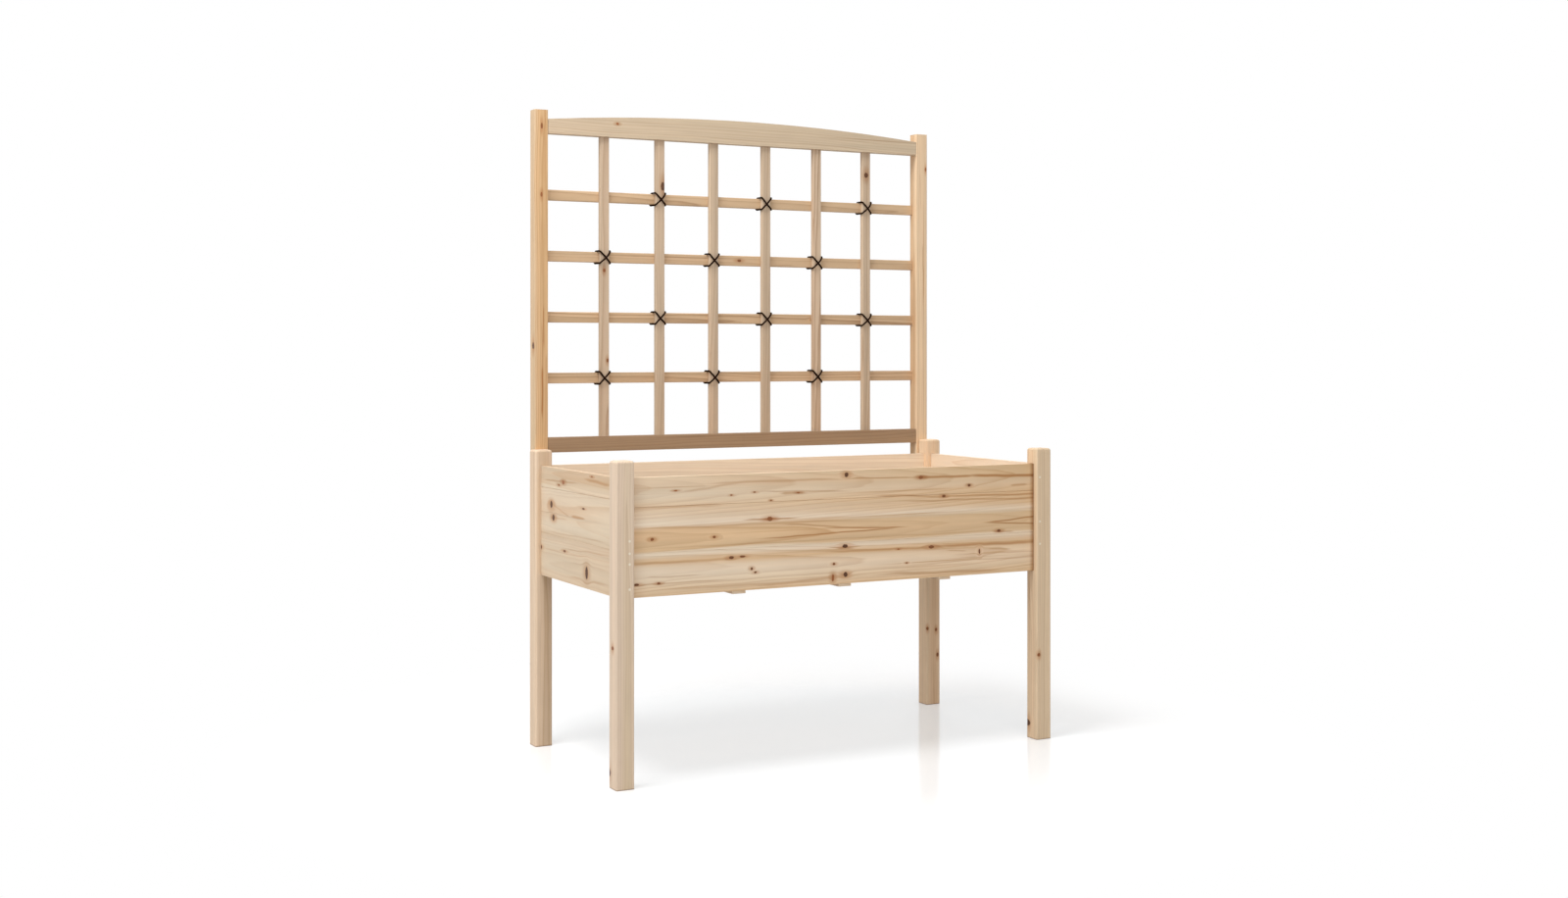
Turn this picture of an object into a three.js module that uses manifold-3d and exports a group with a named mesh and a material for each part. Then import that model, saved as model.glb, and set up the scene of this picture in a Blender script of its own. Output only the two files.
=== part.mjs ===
// A raised wooden planter box on four legs, with a lattice trellis standing behind it.
// Millimetres, +X to the right, +Y to the back, +Z up, the floor at z = 0.
// Four square legs hold edge-glued panels in stopped grooves, a slatted floor lies on
// battens, and a framed trellis is screwed to the backs of the rear legs.

import * as THREE from 'three';
import { mergeVertices } from 'three/addons/utils/BufferGeometryUtils.js';
import Module from 'manifold-3d';

const wasm = await Module();
wasm.setup();

// ---------------------------------------------------------------- driving dimensions

// What two touching pieces of wood leave between them.
const fit = 0.3;

// Planter box, outside over the legs.
const planterLength = 1245;
const planterDepth = 586;

// Legs.
const legSide = 46.5;
const legHeight = 769;
const legCorner = 6;
const legTopEase = 4;

// Panels between the legs, made of staves glued edge to edge.
// The rim lies a little below the tops of the legs. The stave heights run down from the
// rim, and the last stave takes what is left.
const rimDrop = 41;
const panelHeight = 282.5;
const panelThickness = 16;
const grooveDepth = 14;
const longPanelStaves = [71, 47.5, 61];
const endPanelStaves = [54, 60, 58];

// Floor of the box.
const floorThickness = 10;
const floorBoardCount = 5;
const drainGap = 6;
const battenWidth = 36;
const battenCount = 3;
const battenDrop = 7;
const battenRise = 10;
const cleatWidth = 15;

// Trellis posts, which stand against the backs of the rear legs.
const trellisHeight = 1660;
const postWidth = 37.3;
const postDepth = 36;
const postInset = 15.2;
const postCorner = 3;

// Rails between the posts, at the top and at the bottom of the lattice.
const topRailDrop = 23.3;
const topRailEndHeight = 38;
const archRise = 26.3;
const bottomRailRise = 31;
const bottomRailHeight = 39.5;
const railThickness = 28;
const railSetback = 1;
const tenonLength = 12;
const tenonThickness = 10;
const tenonShoulder = 5;

// Lattice: upright slats in front of level crossbars. The windows are the clear widths
// and heights left beside the outermost slats and crossbars.
const slatCount = 6;
const sideWindow = 150.75;
const slatWidth = 26;
const slatThickness = 14.1;
const slatSetback = 9.4;
const slatStub = 10;
const crossbarCount = 4;
const crossbarHeight = 28.3;
const topWindow = 145.9;
const bottomWindow = 141.9;
const housingDepth = 18;
const latticeEdge = 2;

// Screws that hold the posts to the rear legs.
const screwDiameter = 6;
const screwHeadDiameter = 11;
const screwHeadHeight = 4;
const screwHeadSink = 5;
const screwPoint = 6;
const screwTipCover = 4;
const lowScrewRise = 60;
const highScrewDrop = 69;

// Cord lashed round every other crossing.
const cordDiameter = 4;
const cordBend = 3;
const cordSides = 6;
// How far each lashing's crossing sits off the middle of its slat, to the right.
const lashingLeans = [1.5, -1, 2.5, 2.7, -0.5, 1.2, -1.5, 0.8, 2, -2, 1, 0.4];

// ---------------------------------------------------------------- derived places

const halfLength = planterLength / 2;
const halfDepth = planterDepth / 2;
const legCentreX = halfLength - legSide / 2;
const legCentreY = halfDepth - legSide / 2;
const panelInset = (legSide - panelThickness) / 2;
const rimHeight = legHeight - rimDrop;
const panelBottom = rimHeight - panelHeight;
const longPanelY = halfDepth - panelInset - panelThickness / 2;
const endPanelX = halfLength - panelInset - panelThickness / 2;
const innerHalfLength = endPanelX - panelThickness / 2;
const innerHalfDepth = longPanelY - panelThickness / 2;

const postFront = halfDepth + fit;
const postBack = postFront + postDepth;
const postCentreX = halfLength - postInset - postWidth / 2;
const postInnerX = postCentreX - postWidth / 2;
const slatFront = postFront + slatSetback;
const slatBack = slatFront + slatThickness;
const crossbarFront = slatBack + fit;
const crossbarThickness = postBack - crossbarFront;
const railFront = postFront + railSetback;
const railMiddle = railFront + railThickness / 2;
const topRailShoulder = trellisHeight - topRailDrop;
const topRailBottom = topRailShoulder - topRailEndHeight;
const bottomRailBottom = rimHeight + bottomRailRise;
const bottomRailTop = bottomRailBottom + bottomRailHeight;
const latticeHeight = topRailBottom - bottomRailTop;
const slatSpan = 2 * postInnerX - 2 * sideWindow - slatWidth;
const slatPitch = slatSpan / (slatCount - 1);
const crossbarSpan = latticeHeight - topWindow - bottomWindow - crossbarHeight;
const crossbarPitch = crossbarSpan / (crossbarCount - 1);
const topCrossbarCentre = topRailBottom - topWindow - crossbarHeight / 2;
const screwHeights = [panelBottom + lowScrewRise, legHeight - highScrewDrop];

// ---------------------------------------------------------------- materials

const woods = {
  leg: new THREE.MeshStandardMaterial({ color: 0xd8bd98, roughness: 0.62 }),
  stave: new THREE.MeshStandardMaterial({ color: 0xd9b98d, roughness: 0.62 }),
  floor: new THREE.MeshStandardMaterial({ color: 0xcfb089, roughness: 0.7 }),
  post: new THREE.MeshStandardMaterial({ color: 0xddb47c, roughness: 0.6 }),
  lattice: new THREE.MeshStandardMaterial({ color: 0xcaa883, roughness: 0.62 }),
};
const steel = new THREE.MeshStandardMaterial({ color: 0xb9b7ae, roughness: 0.35, metalness: 1 });
const darkCord = new THREE.MeshStandardMaterial({ color: 0x2a1914, roughness: 0.85 });

// ---------------------------------------------------------------- helpers

const model = new THREE.Group();

function addPiece(name, geometry, material, x = 0, y = 0, z = 0) {
  const piece = new THREE.Mesh(geometry, material);
  piece.name = name;
  piece.position.set(x, y, z);
  model.add(piece);
  return piece;
}

// A solid box with its lowest and highest corners given.
function blockBetween(low, high) {
  const size = high.map((value, axis) => value - low[axis]);
  const block = new THREE.BoxGeometry(...size);
  block.translate(...low.map((value, axis) => value + size[axis] / 2));
  return block;
}

// A rectangle about the origin with its four corners rounded or cut off.
function easedRectangle(width, depth, corner) {
  const x = width / 2;
  const y = depth / 2;
  const outline = new THREE.Shape();
  outline.moveTo(-x + corner, -y);
  outline.lineTo(x - corner, -y);
  outline.quadraticCurveTo(x, -y, x, -y + corner);
  outline.lineTo(x, y - corner);
  outline.quadraticCurveTo(x, y, x - corner, y);
  outline.lineTo(-x + corner, y);
  outline.quadraticCurveTo(-x, y, -x, y - corner);
  outline.lineTo(-x, -y + corner);
  outline.quadraticCurveTo(-x, -y, -x + corner, -y);
  return outline;
}

// An upright bar from z = 0, whose long edges are eased in the given number of facets.
function uprightBar(width, depth, height, corner, facets) {
  const outline = easedRectangle(width, depth, corner);
  return new THREE.ExtrudeGeometry(outline, {
    depth: height,
    bevelEnabled: false,
    curveSegments: facets,
  });
}

function solidOf(geometry) {
  const bare = geometry.clone();
  bare.deleteAttribute('normal');
  bare.deleteAttribute('uv');
  const merged = mergeVertices(bare, 1e-4);
  return new wasm.Manifold(
    new wasm.Mesh({
      numProp: 3,
      vertProperties: merged.attributes.position.array,
      triVerts: new Uint32Array(merged.index.array),
    }),
  );
}

function geometryOf(solid) {
  const mesh = solid.getMesh();
  const geometry = new THREE.BufferGeometry();
  geometry.setAttribute('position', new THREE.BufferAttribute(mesh.vertProperties, 3));
  geometry.setIndex(new THREE.BufferAttribute(mesh.triVerts, 1));
  const flat = geometry.toNonIndexed();
  flat.computeVertexNormals();
  return flat;
}

function cutFrom(blank, cutters) {
  let solid = solidOf(blank);
  for (const cutter of cutters) {
    solid = solid.subtract(solidOf(cutter));
  }
  return geometryOf(solid);
}

// A round bar that points along Y from yLow to yHigh.
function roundAlongY(x, yLow, yHigh, z, diameter) {
  const bar = new THREE.CylinderGeometry(diameter / 2, diameter / 2, yHigh - yLow, 16);
  bar.translate(x, (yLow + yHigh) / 2, z);
  return bar;
}

// ---------------------------------------------------------------- screws and their holes

// Each screw passes beside the panel's tongue, midway between it and the post's outer side.
const screwX = halfLength - (postInset + legSide - grooveDepth) / 2;
const screwBite = legSide - grooveDepth - screwTipCover;
const screwTipY = halfDepth - screwBite;
const screwSeatY = postBack - screwHeadSink;

function screwGeometry() {
  const shank = screwDiameter / 2;
  const head = screwHeadDiameter / 2;
  const seat = screwSeatY + fit - screwTipY;
  const crown = seat + screwHeadHeight;
  const rounding = screwHeadHeight / 4;
  const profile = [
    new THREE.Vector2(0, 0),
    new THREE.Vector2(shank, screwPoint),
    new THREE.Vector2(shank, seat),
    new THREE.Vector2(head, seat),
    new THREE.Vector2(head, crown - rounding),
    new THREE.Vector2(head - rounding, crown),
    new THREE.Vector2(0, crown),
  ];
  return new THREE.LatheGeometry(profile, 16);
}

function screwHole(side, z, yLow, yHigh) {
  return roundAlongY(side * screwX, yLow, yHigh, z, screwDiameter + 2 * fit);
}

function addScrews() {
  const names = ['lower', 'upper'];
  for (const [side, sideName] of [[-1, 'left'], [1, 'right']]) {
    screwHeights.forEach((z, index) => {
      const name = `trellis_screw_${sideName}_${names[index]}`;
      addPiece(name, screwGeometry(), steel, side * screwX, screwTipY, z);
    });
  }
}

// ---------------------------------------------------------------- legs

// A leg's top edges are eased as its long edges are, and its foot is cut off square.
function legBlank() {
  const outline = easedRectangle(legSide, legSide, legCorner);
  const blank = new THREE.ExtrudeGeometry(outline, {
    depth: legHeight,
    bevelThickness: legTopEase,
    bevelSize: legTopEase,
    bevelOffset: -legTopEase,
    bevelSegments: 2,
    curveSegments: 3,
  });
  blank.translate(0, 0, -legTopEase);
  return blank;
}

// sideX and sideY are -1 or 1, towards the leg's outer faces.
function legGeometry(sideX, sideY) {
  const x = sideX * legCentreX;
  const y = sideY * legCentreY;
  const half = legSide / 2;
  const slot = panelThickness / 2 + fit;
  const reach = half - grooveDepth - fit;
  const zLow = panelBottom - fit;
  const zHigh = rimHeight + fit;
  const past = half + 1;
  const cutters = [blockBetween([-past, -past, -2 * legTopEase], [past, past, 0])];

  // The groove for the long panel opens towards the middle of the length.
  const grooveX = [-sideX * reach, -sideX * past].sort((a, b) => a - b);
  cutters.push(blockBetween([grooveX[0], -slot, zLow], [grooveX[1], slot, zHigh]));

  // The groove for the end panel opens towards the middle of the depth.
  const grooveY = [-sideY * reach, -sideY * past].sort((a, b) => a - b);
  cutters.push(blockBetween([-slot, grooveY[0], zLow], [slot, grooveY[1], zHigh]));

  if (sideY > 0) {
    for (const z of screwHeights) {
      const hole = screwHole(sideX, z, screwTipY - fit, halfDepth + 1);
      hole.translate(-x, -y, 0);
      cutters.push(hole);
    }
  }
  return cutFrom(legBlank(), cutters);
}

function addLegs() {
  for (const [sideY, depthName] of [[-1, 'front'], [1, 'rear']]) {
    for (const [sideX, sideName] of [[-1, 'left'], [1, 'right']]) {
      const geometry = legGeometry(sideX, sideY);
      const name = `leg_${depthName}_${sideName}`;
      addPiece(name, geometry, woods.leg, sideX * legCentreX, sideY * legCentreY, 0);
    }
  }
}

// ---------------------------------------------------------------- panels

// The lowest and highest z of each stave, from the rim down.
function staveSpans(heights) {
  const spans = [];
  let top = rimHeight;
  for (const height of heights) {
    spans.push([top - height + fit, top]);
    top -= height;
  }
  spans.push([panelBottom, top]);
  return spans;
}

function addPanels() {
  const halfX = halfLength - legSide + grooveDepth;
  const halfY = halfDepth - legSide + grooveDepth;
  const half = panelThickness / 2;
  staveSpans(longPanelStaves).forEach(([low, high], index) => {
    for (const [side, name] of [[-1, 'front'], [1, 'rear']]) {
      const stave = blockBetween([-halfX, -half, low], [halfX, half, high]);
      addPiece(`${name}_board_${index + 1}`, stave, woods.stave, 0, side * longPanelY, 0);
    }
  });
  staveSpans(endPanelStaves).forEach(([low, high], index) => {
    for (const [side, name] of [[-1, 'left'], [1, 'right']]) {
      const stave = blockBetween([-half, -halfY, low], [half, halfY, high]);
      addPiece(`${name}_board_${index + 1}`, stave, woods.stave, side * endPanelX, 0, 0);
    }
  });
}

// ---------------------------------------------------------------- floor

const battenTop = panelBottom + battenRise;

// A batten seen from its side: a full middle inside the box and a lip under each panel.
function battenGeometry() {
  const lipEnd = halfDepth - panelInset;
  const shoulder = innerHalfDepth - fit;
  const lipTop = panelBottom - fit;
  const bottom = panelBottom - battenDrop;
  const outline = new THREE.Shape();
  outline.moveTo(-lipEnd, bottom);
  outline.lineTo(lipEnd, bottom);
  outline.lineTo(lipEnd, lipTop);
  outline.lineTo(shoulder, lipTop);
  outline.lineTo(shoulder, battenTop);
  outline.lineTo(-shoulder, battenTop);
  outline.lineTo(-shoulder, lipTop);
  outline.lineTo(-lipEnd, lipTop);
  outline.closePath();
  const batten = new THREE.ExtrudeGeometry(outline, { depth: battenWidth, bevelEnabled: false });
  batten.translate(0, 0, -battenWidth / 2);
  // The outline's x and y become the part's y and z.
  batten.rotateX(Math.PI / 2);
  batten.rotateZ(Math.PI / 2);
  return batten;
}

function addBattensAndCleats() {
  const names = ['left', 'middle', 'right'];
  const spacing = (2 * innerHalfLength) / (battenCount + 1);
  for (let index = 0; index < battenCount; index += 1) {
    const x = (index - (battenCount - 1) / 2) * spacing;
    const name = `floor_batten_${names[index] ?? index + 1}`;
    addPiece(name, battenGeometry(), woods.floor, x, 0, 0);
  }
  const cleatHalf = halfDepth - legSide - fit;
  const cleatHigh = innerHalfLength - fit;
  const cleatLow = cleatHigh - cleatWidth;
  const cleat = blockBetween([cleatLow, -cleatHalf, panelBottom], [cleatHigh, cleatHalf, battenTop]);
  addPiece('floor_cleat_right', cleat, woods.floor);
  const opposite = cleat.clone().rotateZ(Math.PI);
  addPiece('floor_cleat_left', opposite, woods.floor);
}

// The outermost boards are notched round the legs, which stand into the box's corners.
function floorBoardOutline(halfX, yLow, yHigh) {
  const notchX = halfLength - legSide - fit;
  const notchY = halfDepth - legSide - fit;
  const lowX = yLow < -notchY ? notchX : halfX;
  const highX = yHigh > notchY ? notchX : halfX;
  const points = [[-lowX, yLow], [lowX, yLow]];
  if (lowX < halfX) {
    points.push([lowX, -notchY], [halfX, -notchY]);
  }
  if (highX < halfX) {
    points.push([halfX, notchY], [highX, notchY]);
  }
  points.push([highX, yHigh], [-highX, yHigh]);
  if (highX < halfX) {
    points.push([-highX, notchY], [-halfX, notchY]);
  }
  if (lowX < halfX) {
    points.push([-halfX, -notchY], [-lowX, -notchY]);
  }
  return new THREE.Shape(points.map(([x, y]) => new THREE.Vector2(x, y)));
}

function addFloorBoards() {
  const halfX = innerHalfLength - fit;
  const usable = 2 * (innerHalfDepth - fit) - (floorBoardCount - 1) * drainGap;
  const width = usable / floorBoardCount;
  for (let index = 0; index < floorBoardCount; index += 1) {
    const yLow = -innerHalfDepth + fit + index * (width + drainGap);
    const outline = floorBoardOutline(halfX, yLow, yLow + width);
    const board = new THREE.ExtrudeGeometry(outline, {
      depth: floorThickness,
      bevelEnabled: false,
    });
    addPiece(`floor_board_${index + 1}`, board, woods.floor, 0, 0, battenTop + fit);
  }
}

// ---------------------------------------------------------------- lattice places

function slatX(index) {
  return (index - (slatCount - 1) / 2) * slatPitch;
}

function crossbarZ(index) {
  return topCrossbarCentre - index * crossbarPitch;
}

// ---------------------------------------------------------------- trellis posts

// The mortise in the post on the given side for a rail's tenon.
function tenonMortise(side, zLow, zHigh) {
  const x = [side * (postInnerX - 1), side * (postInnerX + tenonLength + fit)];
  x.sort((a, b) => a - b);
  const half = tenonThickness / 2 + fit;
  return blockBetween([x[0], railMiddle - half, zLow - fit], [x[1], railMiddle + half, zHigh + fit]);
}

// The housing in the back of a post, open at the back, for the end of a crossbar.
function crossbarHousing(side, z) {
  const x = [side * (postInnerX - 1), side * (postInnerX + housingDepth + fit)];
  x.sort((a, b) => a - b);
  const half = crossbarHeight / 2 + fit;
  return blockBetween([x[0], crossbarFront - fit, z - half], [x[1], postBack + 1, z + half]);
}

function postGeometry(side) {
  const height = trellisHeight - panelBottom;
  const blank = uprightBar(postWidth, postDepth, height, postCorner, 2);
  blank.translate(side * postCentreX, postFront + postDepth / 2, panelBottom);
  const cutters = [
    tenonMortise(side, topRailBottom + tenonShoulder, topRailShoulder - tenonShoulder),
    tenonMortise(side, bottomRailBottom + tenonShoulder, bottomRailTop - tenonShoulder),
  ];
  for (let index = 0; index < crossbarCount; index += 1) {
    cutters.push(crossbarHousing(side, crossbarZ(index)));
  }
  for (const z of screwHeights) {
    cutters.push(screwHole(side, z, postFront - 1, postBack + 1));
    const bore = screwHeadDiameter + 2 * fit;
    cutters.push(roundAlongY(side * screwX, screwSeatY, postBack + 1, z, bore));
  }
  return cutFrom(blank, cutters);
}

// ---------------------------------------------------------------- rails

// A tenon that stands out of both ends of a rail and passes through its middle.
function tenonBar(zLow, zHigh) {
  const reach = postInnerX + tenonLength;
  const half = tenonThickness / 2;
  return blockBetween([-reach, railMiddle - half, zLow], [reach, railMiddle + half, zHigh]);
}

// The mortises that hold the ends of the slats, from zLow to zHigh.
function slatMortises(zLow, zHigh) {
  const mortises = [];
  const half = slatWidth / 2 + fit;
  for (let index = 0; index < slatCount; index += 1) {
    const x = slatX(index);
    const low = [x - half, slatFront - fit, zLow];
    mortises.push(blockBetween(low, [x + half, slatBack + fit, zHigh]));
  }
  return mortises;
}

// The top rail's outline: straight below, square at the ends and an arc of a circle above.
function archOutline(halfSpan) {
  const radius = (halfSpan ** 2 + archRise ** 2) / (2 * archRise);
  const centre = topRailShoulder + archRise - radius;
  const halfAngle = Math.asin(halfSpan / radius);
  const outline = new THREE.Shape();
  outline.moveTo(-halfSpan, topRailBottom);
  outline.lineTo(halfSpan, topRailBottom);
  outline.lineTo(halfSpan, topRailShoulder);
  outline.absarc(0, centre, radius, Math.PI / 2 - halfAngle, Math.PI / 2 + halfAngle, false);
  outline.closePath();
  return outline;
}

function railFromOutline(outline) {
  const rail = new THREE.ExtrudeGeometry(outline, {
    depth: railThickness,
    bevelEnabled: false,
    curveSegments: 24,
  });
  rail.rotateX(Math.PI / 2);
  rail.translate(0, railFront + railThickness, 0);
  return rail;
}

function topRailGeometry() {
  const blank = solidOf(railFromOutline(archOutline(postInnerX - fit)));
  const tenon = tenonBar(topRailBottom + tenonShoulder, topRailShoulder - tenonShoulder);
  const body = geometryOf(blank.add(solidOf(tenon)));
  return cutFrom(body, slatMortises(topRailBottom - 1, topRailBottom + slatStub + fit));
}

function bottomRailGeometry() {
  const halfSpan = postInnerX - fit;
  const low = [-halfSpan, railFront, bottomRailBottom];
  const high = [halfSpan, railFront + railThickness, bottomRailTop];
  const tenon = tenonBar(bottomRailBottom + tenonShoulder, bottomRailTop - tenonShoulder);
  const body = geometryOf(solidOf(blockBetween(low, high)).add(solidOf(tenon)));
  return cutFrom(body, slatMortises(bottomRailTop - slatStub - fit, bottomRailTop + 1));
}

function addTrellisFrame() {
  addPiece('trellis_post_left', postGeometry(-1), woods.post);
  addPiece('trellis_post_right', postGeometry(1), woods.post);
  addPiece('trellis_top_rail', topRailGeometry(), woods.lattice);
  addPiece('trellis_bottom_rail', bottomRailGeometry(), woods.lattice);
}

// ---------------------------------------------------------------- slats and crossbars

function addSlats() {
  const zLow = bottomRailTop - slatStub;
  const length = topRailBottom + slatStub - zLow;
  for (let index = 0; index < slatCount; index += 1) {
    const slat = uprightBar(slatWidth, slatThickness, length, latticeEdge, 1);
    const y = slatFront + slatThickness / 2;
    addPiece(`trellis_slat_${index + 1}`, slat, woods.lattice, slatX(index), y, zLow);
  }
}

function addCrossbars() {
  const length = 2 * (postInnerX + housingDepth);
  for (let index = 0; index < crossbarCount; index += 1) {
    const bar = uprightBar(crossbarHeight, crossbarThickness, length, latticeEdge, 1);
    bar.translate(0, 0, -length / 2);
    bar.rotateY(Math.PI / 2);
    const y = crossbarFront + crossbarThickness / 2;
    addPiece(`trellis_crossbar_${index + 1}`, bar, woods.lattice, 0, y, crossbarZ(index));
  }
}

// ---------------------------------------------------------------- cord lashings

// The corners of one lashing about its crossing: x to the right, y back from the slat's
// front, z up. It starts behind the crossbar on the left, climbs over it, crosses the
// slat down to the right, goes up behind, crosses the slat again over the first pass,
// and ends beside its own start.
function lashingCorners(lean) {
  const off = cordDiameter / 2 + fit;
  const x = slatWidth / 2 + off;
  const z = crossbarHeight / 2 + off;
  const front = -off;
  const back = postBack - slatFront + off;
  const over = front - cordDiameter - 2 * fit;
  const beside = cordDiameter + 2 * fit;
  const tail = 2 * cordDiameter;
  const hump = 1.3 * cordDiameter;
  return [
    [-x, back, -cordDiameter],
    [-x, back, z],
    [-x, front, z],
    [lean, front, 0],
    [x, front, -z],
    [x, back, -z],
    [x, back, z],
    [x, front, z],
    [lean + hump, over, hump],
    [lean - hump, over, -hump],
    [-x, front, -z],
    [-x - beside / 2, back, -z],
    [-x - beside, back, -tail],
    [-x - beside, back, tail],
  ].map((corner) => new THREE.Vector3(...corner));
}

// Each corner of a route becomes two points, one a little before it and one after it.
function easedRoute(corners, bend) {
  const route = [corners[0]];
  for (let index = 1; index < corners.length - 1; index += 1) {
    for (const neighbour of [corners[index - 1], corners[index + 1]]) {
      const leg = neighbour.clone().sub(corners[index]);
      const step = Math.min(bend, leg.length() / 3);
      route.push(corners[index].clone().add(leg.setLength(step)));
    }
  }
  route.push(corners[corners.length - 1]);
  return route;
}

// The least distance between passes of the route that lie well apart along it, less the
// cord's own diameter.
function leastGap(route, diameter) {
  const samples = [];
  let along = 0;
  for (let index = 1; index < route.length; index += 1) {
    const length = route[index].distanceTo(route[index - 1]);
    const count = Math.ceil(length);
    for (let step = 0; step < count; step += 1) {
      const share = step / count;
      const place = route[index - 1].clone().lerp(route[index], share);
      samples.push({ place, along: along + share * length });
    }
    along += length;
  }
  let least = Infinity;
  for (const one of samples) {
    for (const other of samples) {
      if (other.along - one.along > 4 * diameter) {
        least = Math.min(least, one.place.distanceTo(other.place));
      }
    }
  }
  return { gap: least - diameter, length: along };
}

// An unbroken tube along the route, with a turned ring of corners at each point.
function tubeAlong(route, diameter, sides) {
  const positions = [];
  const index = [];
  const last = route.length - 1;
  let across = new THREE.Vector3(1, 0, 0);
  route.forEach((point, ring) => {
    const before = route[Math.max(ring - 1, 0)];
    const after = route[Math.min(ring + 1, last)];
    const into = point.clone().sub(before).normalize();
    const out = after.clone().sub(point).normalize();
    const along = into.clone().add(out).normalize();
    // The ring lies in the plane that halves the bend, and keeps the tube's width there.
    across = across.clone().addScaledVector(along, -across.dot(along)).normalize();
    const up = along.clone().cross(across);
    for (let side = 0; side < sides; side += 1) {
      const angle = (2 * Math.PI * side) / sides;
      const corner = point.clone();
      corner.addScaledVector(across, (diameter / 2) * Math.cos(angle));
      corner.addScaledVector(up, (diameter / 2) * Math.sin(angle));
      positions.push(corner.x, corner.y, corner.z);
    }
  });
  for (let ring = 0; ring < last; ring += 1) {
    for (let side = 0; side < sides; side += 1) {
      const a = ring * sides + side;
      const b = ring * sides + ((side + 1) % sides);
      index.push(a, b, a + sides, b, b + sides, a + sides);
    }
  }
  for (let side = 1; side < sides - 1; side += 1) {
    const end = last * sides;
    index.push(0, side + 1, side);
    index.push(end, end + side, end + side + 1);
  }
  const tube = new THREE.BufferGeometry();
  tube.setAttribute('position', new THREE.Float32BufferAttribute(positions, 3));
  tube.setIndex(index);
  const flat = tube.toNonIndexed();
  flat.computeVertexNormals();
  return flat;
}

function addLashings() {
  let count = 0;
  for (let bar = 0; bar < crossbarCount; bar += 1) {
    for (let slat = 0; slat < slatCount; slat += 1) {
      const tied = (bar + slat) % 2 === 1;
      if (tied) {
        const lean = lashingLeans[count % lashingLeans.length];
        const route = easedRoute(lashingCorners(lean), cordBend);
        const { gap, length } = leastGap(route, cordDiameter);
        const name = `lattice_tie_bar${bar + 1}_slat${slat + 1}`;
        console.log(`${name}: least gap ${gap.toFixed(2)} mm, length ${length.toFixed(0)} mm`);
        const tube = tubeAlong(route, cordDiameter, cordSides);
        addPiece(name, tube, darkCord, slatX(slat), slatFront, crossbarZ(bar));
        count += 1;
      }
    }
  }
}

// ---------------------------------------------------------------- assembly

addLegs();
addPanels();
addBattensAndCleats();
addFloorBoards();
addTrellisFrame();
addSlats();
addCrossbars();
addScrews();
addLashings();

// The origin is the middle of the whole footprint, on the floor.
const bounds = new THREE.Box3().setFromObject(model);
const middle = bounds.getCenter(new THREE.Vector3());
model.position.set(-middle.x, -middle.y, -bounds.min.z);

export default model;
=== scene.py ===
# %% [markdown]
# # A fir planter with a trellis
#
# The object is a raised wooden planter: a box of glued fir staves between four
# square legs, a slatted floor on battens, and behind it a tall trellis whose
# slats and crossbars are tied together with dark cord.
#
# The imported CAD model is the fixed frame. Here each of its pieces gets the shape
# of planed and eased timber and a wood that is calculated, not painted. The wood
# is a solid texture: it fills a board in three dimensions, so that a growth ring
# that runs along a face turns up again as an arc on the end grain.

# %% Load the frame
import math

import bmesh
import bpy
from mathutils import Matrix, Vector


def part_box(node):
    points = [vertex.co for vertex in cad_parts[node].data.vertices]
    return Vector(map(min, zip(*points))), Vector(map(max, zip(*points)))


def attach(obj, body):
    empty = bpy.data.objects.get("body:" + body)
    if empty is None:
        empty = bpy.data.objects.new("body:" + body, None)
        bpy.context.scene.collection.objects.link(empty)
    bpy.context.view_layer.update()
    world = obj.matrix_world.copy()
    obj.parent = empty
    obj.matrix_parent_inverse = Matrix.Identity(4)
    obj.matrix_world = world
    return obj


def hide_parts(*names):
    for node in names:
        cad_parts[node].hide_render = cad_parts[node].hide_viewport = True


def linked(name, data):
    """A new object in the scene, made from a mesh, a lamp or a camera."""
    made = bpy.data.objects.new(name, data)
    bpy.context.scene.collection.objects.link(made)
    return made


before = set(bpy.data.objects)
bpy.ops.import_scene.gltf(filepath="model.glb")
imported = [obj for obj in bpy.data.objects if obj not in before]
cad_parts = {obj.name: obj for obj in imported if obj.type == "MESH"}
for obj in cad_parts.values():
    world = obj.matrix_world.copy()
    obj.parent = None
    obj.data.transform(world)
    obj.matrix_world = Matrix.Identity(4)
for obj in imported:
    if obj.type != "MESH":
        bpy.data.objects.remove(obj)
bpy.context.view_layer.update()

# %% [markdown]
# ## The camera
#
# The photograph was taken with a level camera from the front left. Its lens and
# place were solved from the lengths of legs, box and trellis. The horizon lies
# above the middle of the picture, and a small vertical shift puts it there without
# tilting the camera, so upright edges stay upright.

# %% Camera
lens = bpy.data.cameras.new("view")
lens.sensor_width = 36.0
lens.lens = 41.818
lens.shift_y = -0.06233
viewpoint = linked("view", lens)
viewpoint.location = (-2.271965, -4.244511, 1.025632)
viewpoint.rotation_euler = (math.pi / 2, 0.0, -0.489)
bpy.context.scene.camera = viewpoint
print("camera", tuple(round(v, 3) for v in viewpoint.location))

# %% [markdown]
# ## A shorthand for node trees
#
# Every finish and every generated shape below is a tree of nodes. This small class
# adds a node and links its inputs in one call, so that a recipe reads in the order in
# which the values flow.


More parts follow.
